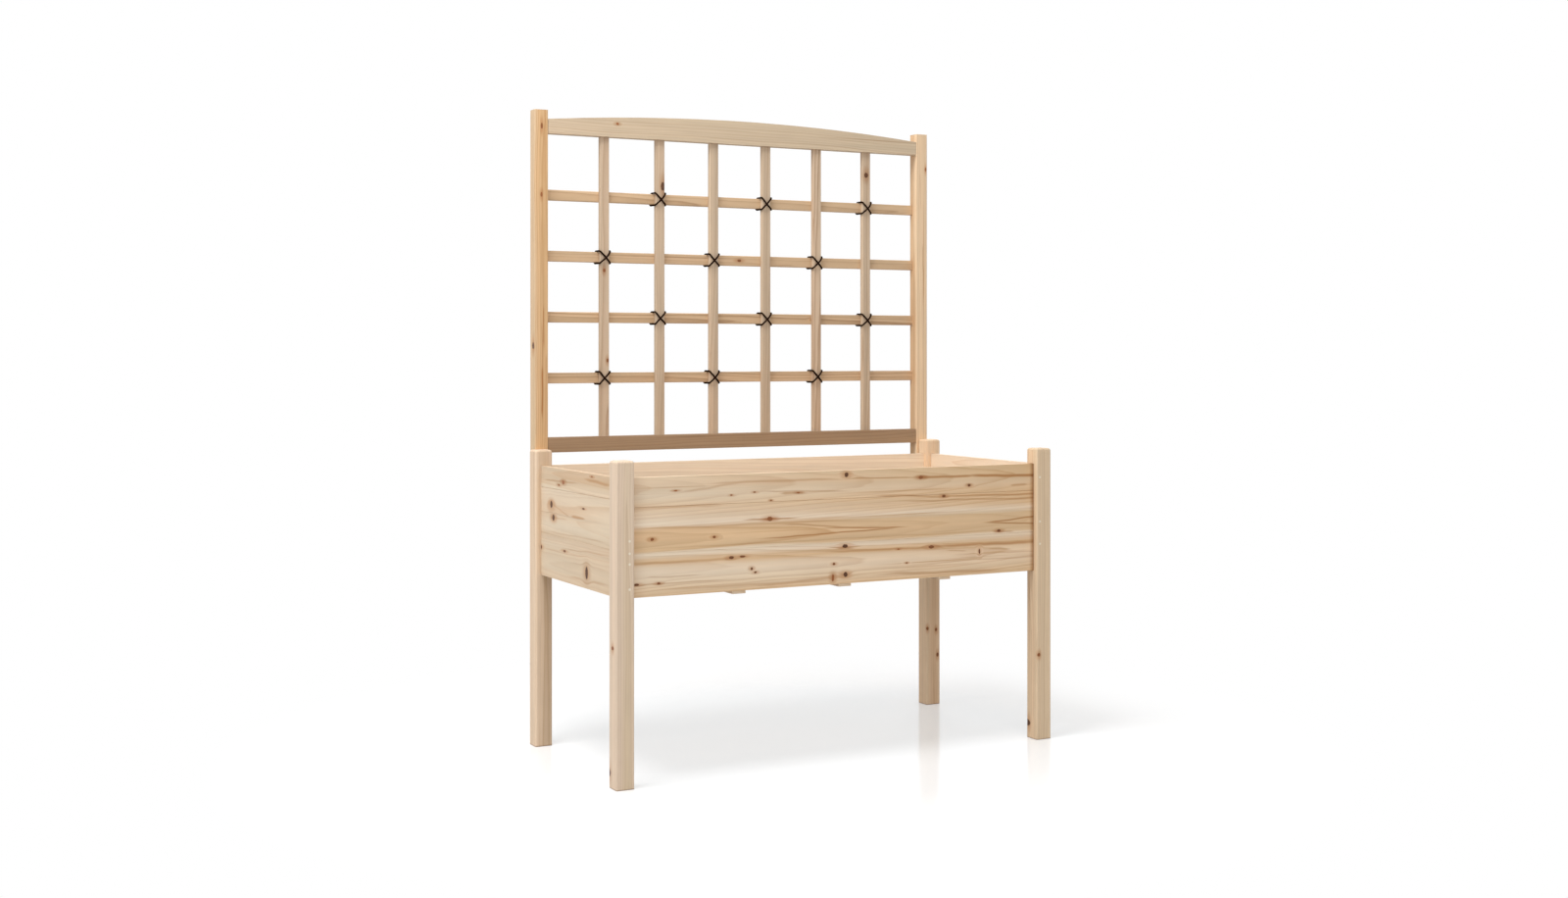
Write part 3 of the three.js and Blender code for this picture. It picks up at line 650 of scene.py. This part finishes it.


# Painted shade: the colour darkens towards the ends of the staves beside the legs, and towards the foot of a
# leg.
def with_painted_shade(w, base, along, side):
    for end, reach, depth in PAINTED_SHADE_ENDS.get(side, ()):
        gap = w.math("ABSOLUTE", w.minus(along, end / 1000))
        shade_tinted = w.tint(base, colour(176, 150, 124))
        base = w.blend(w.ramp(gap, reach / 1000, 0.0, 0.0, depth), base, shade_tinted)
    return base


def wood(name, box, grain, tone, seed, trunk, row=None, side=None, contrast=1.0):
    """A fir material for one piece, or for a row of alike ones: row=(axis, pitch, middle).

    The trunk is the place of the pith across and in depth, the radius of the heartwood,
    the width of a ring and the rise of the trunk along the piece."""
    low, high = box
    order = GRAIN[grain]
    shift = Vector([((low + high) / 2)[i] for i in order])
    material = bpy.data.materials.new(name)
    w = cleared(material)
    object_place = w.object_place()
    axes = w.split(object_place)
    along = axes[order[0]]
    place = w.vector("SUBTRACT", w.join(*(axes[i] for i in order)), shift)
    values = knotted(w, place, order, shift, low, high)
    values["Mark"] = strokes(w, values["Place"], order, shift, side, low, high)
    values["Stain"] = 0.0
    if side in BANDS:
        values["Stain"] = stain(w, axes[2], along, side, low[order[0]], high[order[0]])
    values["Seed"] = seed
    if row:
        axis, pitch, middle = row
        member = w.node("ShaderNodeAttribute", attribute_name="member").outputs["Fac"]
        move = [0.0, 0.0, 0.0]
        move[order.index(axis)] = w.times(w.minus(member, middle), -pitch)
        values["Place"] = w.vector("ADD", values["Place"], w.join(*move))
        values["Seed"] = w.scaled(member, 1.37, seed)
    values.update(zip(("Pith Across", "Pith Depth", "Heart", "Ring", "Rise"), trunk))
    values.update(zip(("Sapwood", "Heartwood", "Latewood"), (colour(*c) for c in TONES[tone])))
    fir = w.group(FIR, {**values, "Contrast": contrast}).outputs
    base = with_fillings(w, fir["Colour"], object_place, low, high)
    # painted shade beside the legs and at the feet
    base = with_painted_shade(w, base, along, side)
    bump = w.out("ShaderNodeBump", {"Height": fir["Height"], "Strength": 0.35, "Distance": 0.0006})
    finish = {"Base Color": base, "Roughness": fir["Roughness"], "Normal": bump}
    w.surface({**finish, "Specular IOR Level": 0.30})
    return material


print("the recipes come together in one material for each piece")

# %% [markdown]
# ## Legs, posts, rails and battens
#
# These have grooves, tenons, housings and an arch, which the CAD made already. Their
# copies keep that shape. The loose triangles of the copy are merged, flat faces are
# joined up, and a small bevel takes the sharpness off the outside corners, as a plane
# and a sheet of sandpaper do. The rounding at the top of a leg is made half as large
# again. Normals weighted by area keep the broad faces flat to the light and let the
# rounded corners shine.


# %% Planed copies
def settle(piece, slot, *nodes):
    """The piece goes with the body and stands for its CAD nodes, which it hides."""
    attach(piece, "root")
    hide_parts(*nodes)


def finished(name, mesh, material):
    mesh.materials.clear()
    mesh.materials.append(material)
    return linked(name, mesh)


def worked(name, mesh, kind, inputs=None, **settings):
    """The mesh as one modifier makes it, with nothing left live."""
    carrier = linked(name, mesh)
    modifier = carrier.modifiers.new("shape", kind)
    for label, value in settings.items():
        setattr(modifier, label, value)
    for identifier, value in (inputs or {}).items():
        modifier[identifier] = value
    ready = carrier.evaluated_get(bpy.context.evaluated_depsgraph_get())
    mesh = bpy.data.meshes.new_from_object(ready)
    bpy.data.objects.remove(carrier)
    return mesh


def soften(mesh, limit=50.0):
    """Smooth over shallow edges, crisp over steep ones."""
    shape = bmesh.new()
    shape.from_mesh(mesh)
    for face in shape.faces:
        face.smooth = True
    for edge in shape.edges:
        edge.smooth = len(edge.link_faces) == 2 and edge.calc_face_angle() < math.radians(limit)
    shape.to_mesh(mesh)
    shape.free()


def timber(name, mesh, material, slot, *nodes):
    """A finished wooden piece, with broad faces that stay flat to the light."""
    soften(mesh)
    piece = finished(name, mesh, material)
    flat = piece.modifiers.new("flat faces", "WEIGHTED_NORMAL")
    flat.keep_sharp, flat.weight = True, 80
    settle(piece, slot, *nodes)


# %% Corners
LEG_TOP_EASE = 0.004  # the radius that the frame gives to the rounding at the top of a leg
NEARLY_FLAT, STEEP = math.radians(0.6), math.radians(60)
SHORT = 0.009  # a shorter edge belongs to a rounding and is left as it is


def round_top(shape, box, times):
    """Makes the rounding at the top of a leg larger: a lower ring also lies further in."""
    low, high = box
    middle, half = (low + high) / 2, (high.x - low.x) / 2
    for point in shape.verts:
        below = high.z - point.co.z
        if below < LEG_TOP_EASE + 1e-5:
            drop = LEG_TOP_EASE - below
            inset = LEG_TOP_EASE - math.sqrt(max(LEG_TOP_EASE**2 - drop**2, 0.0))
            scale = (half - times * inset) / (half - inset)
            point.co.x = middle.x + (point.co.x - middle.x) * scale
            point.co.y = middle.y + (point.co.y - middle.y) * scale
            point.co.z = high.z - below * times


def mark_corners(shape):
    """Gives a bevel weight to the long outside corners."""
    name = "bevel_weight_edge"
    weights = shape.edges.layers.float.get(name) or shape.edges.layers.float.new(name)
    for edge in shape.edges:
        if len(edge.link_faces) == 2 and edge.is_convex and edge.calc_length() > SHORT:
            if edge.calc_face_angle() > STEEP:
                edge[weights] = 1.0


def planed(node, ease, slot, grain, tone, seed, trunk, rounder=None, **look):
    material = wood(node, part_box(node), grain, tone, seed, trunk, **look)
    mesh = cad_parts[node].data.copy()
    shape = bmesh.new()
    shape.from_mesh(mesh)
    bmesh.ops.remove_doubles(shape, verts=shape.verts, dist=1e-5)
    if rounder:
        round_top(shape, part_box(node), rounder)
    bmesh.ops.dissolve_limit(shape, angle_limit=NEARLY_FLAT, verts=shape.verts, edges=shape.edges)
    mark_corners(shape)
    shape.to_mesh(mesh)
    shape.free()
    mesh = worked(node, mesh, "BEVEL", limit_method="WEIGHT", width=ease, segments=3)
    timber(node + "_planed", mesh, material, slot, node)


# %% Legs
for node, tone, pith, seed in (
    ("leg_front_left", "front left leg", (0.004, -0.034), 1.0),
    ("leg_front_right", "right leg", (0.04, 0.02), 2.0),
    ("leg_rear_left", "rear left leg", (0.004, -0.034), 3.0),
    ("leg_rear_right", "rear right leg", (0.004, -0.034), 4.0),
):
    trunk = (*pith, 0.014, 0.0045, 0.006)
    planed(node, 0.0012, "leg_wood", "z", tone, seed, trunk, 1.5, side="leg", contrast=1.3)
print("four legs")

# %% Posts, rails, battens and the two notched floor boards
for side, seed, trunk in (
    ("left", 5.0, (0.01, -0.03, 0.028, 0.0042, 0.005)),
    # The right post's pith lies beyond its left face, so heartwood darkens that face: real grain, placed
    # there as painted shade.
    ("right", 6.0, (-0.032, 0.004, 0.02, 0.0042, 0.005)),
):
    node, tone = "trellis_post_" + side, side + " post"
    planed(node, 0.0015, "post_wood", "z", tone, seed, trunk, side=tone, contrast=1.7)
for node, tone, seed, pith in (
    ("trellis_top_rail", "rail", 7.0, (-0.05, 0.03)),
    ("trellis_bottom_rail", "low rail", 8.0, (0.03, 0.022)),
):
    trunk = (*pith, 0.024, 0.005, 0.01)
    planed(node, 0.0018, "lattice_wood", "x", tone, seed, trunk, contrast=1.6)
for number, side in enumerate(("left", "middle", "right")):
    node, trunk = "floor_batten_" + side, (0.01, 0.02, 0.02, 0.0045, 0.01)
    planed(node, 0.001, "floor_wood", "y flat", "floor", 9.0 + number, trunk)
for number in (1, 5):
    node, trunk = f"floor_board_{number}", (0.02, -0.03, 0.024, 0.005, 0.012)
    planed(node, 0.001, "floor_wood", "x flat", "floor", 12.0 + number, trunk)
print("posts, rails, battens and the two notched floor boards")

# %% [markdown]
# ## Squared boards
#
# Every other board is a plain squared bar, which follows one rule: a rectangle with
# rounded corners, drawn along the board's length. That is a Geometry Nodes tree with
# the sizes as named inputs. The two upper corners may be rounder than the lower ones,
# for the rim of the box. The same tree makes staves, floor boards and cleats.


# %% Squared board tree
def board_tree():
    sizes = ("Length", "Width", "Height", "Upper Edge", "Lower Edge")
    inputs = {"Float": sizes, "Material": ("Finish",)}
    tree, w, given = new_tree("squared board", "GeometryNodeTree", inputs, {"Geometry": ("Board",)})
    face = {"Width": given["Width"], "Height": given["Height"]}
    section = w.out("GeometryNodeCurvePrimitiveQuadrilateral", face)
    corner = w.split(w.out("GeometryNodeInputPosition"))[1]
    upper = w.out("FunctionNodeCompare", {0: corner, 1: 0.0}, operation="GREATER_THAN")
    edges = {0: upper, 1: given["Lower Edge"], 2: given["Upper Edge"]}
    radius = w.out("GeometryNodeSwitch", edges, input_type="FLOAT")
    rounding = {"Curve": section, "Count": 3, "Radius": radius}
    eased = w.out("GeometryNodeFilletCurve", rounding, mode="POLY")
    half = w.times(given["Length"], 0.5)
    ends = {"Start": w.join(w.times(half, -1.0), 0, 0), "End": w.join(half, 0, 0)}
    line = w.out("GeometryNodeCurvePrimitiveLine", ends)
    sweep = {"Curve": line, "Profile Curve": eased, "Fill Caps": True}
    w.deliver(w.out("GeometryNodeCurveToMesh", sweep), given["Finish"])
    return tree


def grown(tree, name, values, start=None):
    """Runs a Geometry Nodes tree and gives its result as a plain mesh."""
    inputs = {}
    for item in tree.interface.items_tree:
        if item.in_out == "INPUT" and item.name in values:
            value = values[item.name]
            inputs[item.identifier] = tuple(value) if isinstance(value, Vector) else value
    start = start or bpy.data.meshes.new(name)
    return worked(name, start, "NODES", inputs, node_group=tree)


BOARD = board_tree()
print("board tree:", len(BOARD.nodes), "nodes")

# %% Staves of the box
GLUE = 0.00015  # half of the gap between two staves, which each fills on its own side
SHARP, RIM, FOOT_EDGE = 0.00005, 0.0020, 0.0012  # roundings: at a glued joint, on the rim, below
TURN = {"x": Matrix.Identity(4), "y": Matrix.Rotation(math.pi / 2, 4, "Z")}
STAVES = {  # the trunks of the staves, from the top down
    "front": (
        (0.03, 0.06, -1.0, 0.0065, 0.03), (0.03, 0.06, -1.0, 0.0065, 0.03),
        (0.0, 0.04, -1.0, 0.006, 0.02), (0.01, 0.05, -1.0, 0.006, 0.015),
    ),
    "rear": (
        (-0.02, -0.05, 0.02, 0.006, 0.018), (0.01, -0.02, 0.03, 0.005, 0.012),
        (0.03, -0.022, 0.012, 0.0055, 0.014), (0.01, -0.016, 0.026, 0.0055, 0.012),
    ),
    "left": (
        (0.012, 0.03, -1.0, 0.006, 0.014), (-0.02, 0.06, -1.0, 0.006, 0.016),
        (0.01, 0.05, -1.0, 0.006, 0.018), (-0.02, 0.05, -1.0, 0.0055, 0.01),
    ),
    "right": (
        (0.01, -0.04, 0.01, 0.006, 0.014), (0.01, -0.03, 0.03, 0.006, 0.016),
        (-0.02, -0.04, 0.012, 0.006, 0.018), (0.01, -0.05, 0.028, 0.0055, 0.01),
    ),
}
SAWN_FROM = {"front": (0, 0, 2, 3)}  # two staves from one wider board share their rings


def board(node, grain, material, slot, upper, lower, raise_top=0.0, drop_foot=0.0):
    low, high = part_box(node)
    low.z, high.z = low.z - drop_foot, high.z + raise_top
    size, middle = high - low, (low + high) / 2
    length, width = (size.x, size.y) if grain.startswith("x") else (size.y, size.x)
    values = {"Length": length, "Width": width, "Height": size.z, "Finish": material}
    mesh = grown(BOARD, node, {**values, "Upper Edge": upper, "Lower Edge": lower})
    mesh.transform(Matrix.Translation(middle) @ TURN[grain[0]])
    timber(node + "_planed", mesh, material, slot, node)


for number, (side, trunks) in enumerate(STAVES.items()):
    grain = "x" if side in ("front", "rear") else "y"
    tone = "left panel" if side == "left" else "panel"
    sawn = SAWN_FROM.get(side, (0, 1, 2, 3))
    nodes = [f"{side}_board_{k}" for k in (1, 2, 3, 4)]
    for k, (node, trunk) in enumerate(zip(nodes, trunks)):
        whole = around([twin for twin, source in zip(nodes, sawn) if source == sawn[k]])
        fir = wood(node, whole, grain, tone, 20.0 + 4 * number + sawn[k], trunk, side=side)
        edges = (RIM if k == 0 else SHARP, FOOT_EDGE if k == 3 else SHARP)
        fills = (0.0 if k == 0 else GLUE, 0.0 if k == 3 else GLUE)
        board(node, grain, fir, "panel_wood", *edges, *fills)
print("sixteen staves in four panels")

# %% Floor boards and cleats
for k in (2, 3, 4):
    node, trunk = f"floor_board_{k}", (0.01 * k, -0.035, 0.024, 0.005, 0.012)
    fir = wood(node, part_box(node), "x flat", "floor", 40.0 + k, trunk)
    board(node, "x flat", fir, "floor_wood", 0.0012, 0.0012)
for k, side in enumerate(("left", "right")):
    node, trunk = "floor_cleat_" + side, (0.01, 0.02, 0.014, 0.0045, 0.01)
    fir = wood(node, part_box(node), "y flat", "floor", 45.0 + k, trunk)
    board(node, "y flat", fir, "floor_wood", 0.0008, 0.0008)
print("three floor boards and two cleats")

# %% [markdown]
# ## Slats and crossbars of the trellis
#
# Six alike slats at one pitch, and four alike crossbars at another: both are rows. The
# tree sets points on a line, puts one eased bar on each and writes the bar's number on
# it as an attribute called member. The wood reads that number, and each bar of the row
# is cut from another place of the trunk.


# %% Row of bars
def row_tree():
    floats = ("Length", "Width", "Height", "Edge")
    inputs = {"Int": ("Count",), "Vector": ("First", "Pitch"), "Rotation": ("Turn",)}
    inputs.update({"Float": floats, "Material": ("Finish",)})
    tree, w, given = new_tree("row of bars", "GeometryNodeTree", inputs, {"Geometry": ("Row",)})
    line = {"Count": given["Count"], "Start Location": given["First"], "Offset": given["Pitch"]}
    points = w.out("GeometryNodeMeshLine", line)
    values = {label: given[label] for label in ("Length", "Width", "Height", "Finish")}
    values.update({"Upper Edge": given["Edge"], "Lower Edge": given["Edge"]})
    bar = w.group(BOARD, values).outputs[0]
    placing = {"Points": points, "Instance": bar, "Rotation": given["Turn"]}
    placed = w.out("GeometryNodeInstanceOnPoints", placing)
    note = {"Geometry": placed, "Name": "member", "Value": w.out("GeometryNodeInputIndex")}
    numbered = w.out("GeometryNodeStoreNamedAttribute", note, domain="INSTANCE")
    w.deliver(numbered, given["Finish"])
    return tree


ROW, BAR_EDGE = row_tree(), 0.0020


def row_of_bars(name, nodes, axis, tone, seed, trunk, turn, sizes):
    """One row; sizes says which axis gives the length, the width and the height of a bar."""
    (low, high), (last_low, last_high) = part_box(nodes[0]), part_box(nodes[-1])
    first, size = (low + high) / 2, high - low
    pitch = ((last_low + last_high) / 2 - first) / (len(nodes) - 1)
    grain = "z" if axis == 0 else "x"
    row = (axis, pitch[axis], (len(nodes) - 1) / 2)
    material = wood(name, around(nodes), grain, tone, seed, trunk, row, contrast=2.2)
    values = {"Count": len(nodes), "First": first, "Pitch": pitch, "Turn": turn}
    values.update(zip(("Length", "Width", "Height"), (size[i] for i in sizes)))
    mesh = grown(ROW, name, {**values, "Edge": BAR_EDGE, "Finish": material})
    timber(name, mesh, material, "lattice_wood", *nodes)
    print(name, len(mesh.polygons), "faces, pitch", round(pitch.length * 1000, 2), "mm")


row_of_bars(
    "trellis_slats", [f"trellis_slat_{k}" for k in range(1, 7)], 0, "slat", 50.0,
    (0.012, 0.024, 0.016, 0.0045, 0.007), (0.0, -math.pi / 2, 0.0), (2, 1, 0),
)
row_of_bars(
    "trellis_crossbars", [f"trellis_crossbar_{k}" for k in range(1, 5)], 2, "bar", 60.0,
    (-0.01, 0.02, 0.02, 0.0045, 0.008), (0.0, 0.0, 0.0), (0, 1, 2),
)

# %% [markdown]
# ## Cord lashings
#
# Every other crossing is tied with thin dark cord: it crosses over the slat in front
# and goes round both bars behind. The route repeats the CAD's, point by point. The
# cord itself is three strands laid together, so the tree sweeps a section with three
# lobes along the route and turns it as it goes. Behind, a few turns of twine hold the
# two ends together.

# %% Lashing route
CORD, FIT, BEND = 0.004, 0.0003, 0.003
LEANS = [1.5, -1, 2.5, 2.7, -0.5, 1.2, -1.5, 0.8, 2, -2, 1, 0.4]  # each tied a little differently


def eased_route(corners):
    """Each corner is cut by a short chord, as a cord under tension rounds an edge."""
    route = [corners[0]]
    for before, corner, after in zip(corners, corners[1:], corners[2:]):
        for other in (before, after):
            leg = other - corner
            route.append(corner + leg.normalized() * min(BEND, leg.length / 3))
    return route + [corners[-1]]


def lashing_route(slat, bar, lean):
    """The route of one lashing and the middle between its two ends."""
    (slat_low, slat_high), (bar_low, bar_high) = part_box(slat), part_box(bar)
    origin = Vector(((slat_low.x + slat_high.x) / 2, slat_low.y, (bar_low.z + bar_high.z) / 2))
    off = CORD / 2 + FIT
    x = (slat_high.x - slat_low.x) / 2 + off
    z = (bar_high.z - bar_low.z) / 2 + off
    front, back = -off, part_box("trellis_post_left")[1].y - slat_low.y + off
    over, beside = front - CORD - 2 * FIT, CORD + 2 * FIT
    tail, hump = 2 * CORD, 1.3 * CORD
    corners = [
        (-x, back, -CORD), (-x, back, z), (-x, front, z), (lean, front, 0),
        (x, front, -z), (x, back, -z), (x, back, z), (x, front, z),
        (lean + hump, over, hump), (lean - hump, over, -hump), (-x, front, -z),
        (-x - beside / 2, back, -z), (-x - beside, back, -tail), (-x - beside, back, tail),
    ]
    middle = origin + Vector((-x - beside / 2, back, 0))
    return eased_route([origin + Vector(c) for c in corners]), middle


# %% Twine route
TURNS, STEPS = 5, 20
LOOP, BESIDE_CORD, FLAT = 0.00245, 0.0023, 0.00175  # radius, spread over two cords, depth behind
TWINE_START, TWINE_PITCH = -0.0016, 0.00095


def twine_route(middle):
    """A few turns round the two ends, flattened where they lie on the crossbar."""
    route = []
    for k in range(TURNS * STEPS + 1):
        angle = 2 * math.pi * k / STEPS
        side = BESIDE_CORD * math.tanh(3 * math.cos(angle)) + LOOP * math.cos(angle)
        deep = max(LOOP * math.sin(angle), -FLAT)
        route.append(middle + Vector((side, deep, TWINE_START + TWINE_PITCH * k / STEPS)))
    return route


print("a turn of twine has", STEPS, "points")


# %% Laid cord tree
def cord_tree():
    inputs = {"Geometry": ("Route",), "Float": ("Diameter", "Lay", "Step"), "Material": ("Finish",)}
    tree, w, given = new_tree("laid cord", "GeometryNodeTree", inputs, {"Geometry": ("Cord",)})
    line = w.out("GeometryNodeMeshToCurve", {0: given["Route"]})
    steps = {"Curve": line, "Length": given["Step"]}
    even = w.out("GeometryNodeResampleCurve", steps, mode="LENGTH")
    run = w.node("GeometryNodeSplineParameter").outputs["Length"]
    turn = w.times(w.math("DIVIDE", run, given["Lay"]), 2 * math.pi)
    twisted = w.out("GeometryNodeSetCurveTilt", {"Curve": even, "Tilt": turn})
    circle = {"Resolution": 15, "Radius": w.times(given["Diameter"], 0.5)}
    ring = w.out("GeometryNodeCurvePrimitiveCircle", circle)
    spot = w.out("GeometryNodeInputPosition")
    x, y, _ = w.split(spot)
    lobes = w.math("ABSOLUTE", w.math("COSINE", w.times(w.math("ARCTAN2", y, x), 1.5)))
    size = w.scaled(lobes, 0.12, 0.88)
    moved = {"Geometry": ring, "Position": w.vector("MULTIPLY", spot, w.join(size, size, size))}
    strands = w.out("GeometryNodeSetPosition", moved)
    sweep = {"Curve": twisted, "Profile Curve": strands, "Fill Caps": True}
    swept = w.out("GeometryNodeCurveToMesh", sweep)
    w.deliver(w.out("GeometryNodeSetShadeSmooth", {0: swept}), given["Finish"])
    return tree


def cord_material():
    material = bpy.data.materials.new("dark cord")
    w = cleared(material)
    place = w.object_place()
    tuft = w.noise(place, 3.0, 0.7, 2200.0)
    worn = w.noise(place, 2.0, scale=160.0)
    base = w.blend(w.ramp(tuft, 0.35, 0.75), colour(24, 10, 4), colour(46, 23, 12))
    base = w.blend(w.ramp(worn, 0.55, 0.8, 0.0, 0.25), base, colour(60, 34, 20))
    bump = w.out("ShaderNodeBump", {"Height": tuft, "Strength": 0.5, "Distance": 0.0003})
    rough = w.scaled(tuft, 0.15, 0.78)
    finish = {"Base Color": base, "Roughness": rough, "Normal": bump}
    w.surface({**finish, "Specular IOR Level": 0.04})
    return material


CORD_TREE, CORD_FINISH = cord_tree(), cord_material()
print("cord tree:", len(CORD_TREE.nodes), "nodes")

# %% Lashings
LAID = {  # the cord as seen is fuller than its core and beds into the wood
    "cord": {"Diameter": 0.005, "Lay": 0.016, "Step": 0.0009, "Finish": CORD_FINISH},
    "twine": {"Diameter": 0.0011, "Lay": 0.006, "Step": 0.0006, "Finish": CORD_FINISH},
}


def laid(kind, name, route):
    path = bpy.data.meshes.new("route")
    links = [(k, k + 1) for k in range(len(route) - 1)]
    path.from_pydata([tuple(p) for p in route], links, [])
    return grown(CORD_TREE, name, LAID[kind], path)


def joined(name, meshes):
    """Several meshes as one."""
    shape = bmesh.new()
    for mesh in meshes:
        shape.from_mesh(mesh)
    whole = bpy.data.meshes.new(name)
    shape.to_mesh(whole)
    shape.free()
    return whole


crossings = [(bar, slat) for bar in range(1, 5) for slat in range(1, 7) if (bar + slat) % 2]
for (bar, slat), lean in zip(crossings, LEANS):
    node = f"lattice_tie_bar{bar}_slat{slat}"
    ends = (f"trellis_slat_{slat}", f"trellis_crossbar_{bar}")
    route, middle = lashing_route(*ends, lean / 1000)
    mesh = joined(node, [laid("cord", node, route), laid("twine", node, twine_route(middle))])
    for face in mesh.polygons:
        face.use_smooth = True
    settle(finished(node + "_cord", mesh, CORD_FINISH), "tie_cord", node)
print(len(crossings), "lashings of", len(mesh.polygons), "faces each")

# %% [markdown]
# ## Screws
#
# Two long screws hold each post to its rear leg. Only their heads show, sunk in the
# back of the post, so the head gets the care: a flat disc with a cross cut into it.
# One screw is made and an instance of it stands at each of the four places.

# %% Screw tree
ARM, SLOT, DEEP = 0.0062, 0.0013, 0.005  # one cut of the cross: length, width, and twice its depth
POINT, BLUNT = 0.004, 0.12  # length of the point, and its share of the shank's width at the tip


def screw_tree():
    inputs = {"Geometry": ("Places",), "Float": ("Head", "Shank", "Length", "Thickness")}
    inputs["Material"] = ("Finish",)
    tree, w, given = new_tree("post screw", "GeometryNodeTree", inputs, {"Geometry": ("Screws",)})

    def disc(width, depth, high, sides=32):
        size = {"Vertices": sides, "Radius": w.times(width, 0.5), "Depth": depth}
        made = w.out("GeometryNodeMeshCylinder", size)
        place = w.join(0, 0, high)
        return w.out("GeometryNodeTransform", {"Geometry": made, "Translation": place})

    def together(*parts):
        heap = w.node("GeometryNodeJoinGeometry")
        for part in parts:
            w.tree.links.new(part, heap.inputs[0])
        return heap.outputs[0]

    drum = disc(given["Head"], given["Thickness"], w.times(given["Thickness"], -0.5))
    cuts = ((ARM, SLOT, DEEP), (SLOT, ARM, DEEP))
    cross = together(*(w.out("GeometryNodeMeshCube", {"Size": size}) for size in cuts))
    cut = w.node("GeometryNodeMeshBoolean", {"Mesh 1": drum}, operation="DIFFERENCE", solver="EXACT")
    w.tree.links.new(cross, cut.inputs["Mesh 2"])
    cut.inputs["Self Intersection"].default_value = True
    run = w.minus(given["Length"], given["Thickness"])
    shank = disc(given["Shank"], run, w.minus(w.times(run, -0.5), given["Thickness"]), 16)
    spot = w.out("GeometryNodeInputPosition")
    from_tip = w.math("ADD", w.split(spot)[2], given["Length"])
    narrow = w.ramp(from_tip, 0.0, POINT, BLUNT, 1.0)
    pointed = w.vector("MULTIPLY", spot, w.join(narrow, narrow, 1.0))
    shank = w.out("GeometryNodeSetPosition", {"Geometry": shank, "Position": pointed})
    screw = {"Points": given["Places"], "Instance": together(cut.outputs[0], shank)}
    screw["Rotation"] = (-math.pi / 2, 0.0, 0.0)
    w.deliver(w.out("GeometryNodeInstanceOnPoints", screw), given["Finish"])
    return tree


def steel():
    material = bpy.data.materials.new("zinc plated steel")
    w = cleared(material)
    cloud = w.noise(w.object_place(), 3.0, scale=600.0)
    base = w.blend(cloud, colour(176, 172, 160), colour(206, 203, 196))
    w.surface({"Base Color": base, "Roughness": w.scaled(cloud, 0.2, 0.26), "Metallic": 1.0})
    return material


# %% Screws
sides = ("left", "right")
screws = [f"trellis_screw_{side}_{height}" for side in sides for height in ("lower", "upper")]
heads = []
for node in screws:
    low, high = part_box(node)
    heads.append(((low.x + high.x) / 2, high.y, (low.z + high.z) / 2))
spots = bpy.data.meshes.new("heads")
spots.from_pydata(heads, [], [])
STEEL = steel()
values = {"Head": high.x - low.x, "Shank": 0.006, "Length": high.y - low.y, "Thickness": 0.004}
mesh = grown(screw_tree(), "screws", {**values, "Finish": STEEL}, spots)
soften(mesh, 35.0)
settle(finished("trellis_screws", mesh, STEEL), "screw_steel", *screws)
print("four screws,", len(mesh.polygons), "faces")

# %% Finish
print("the scene is built")
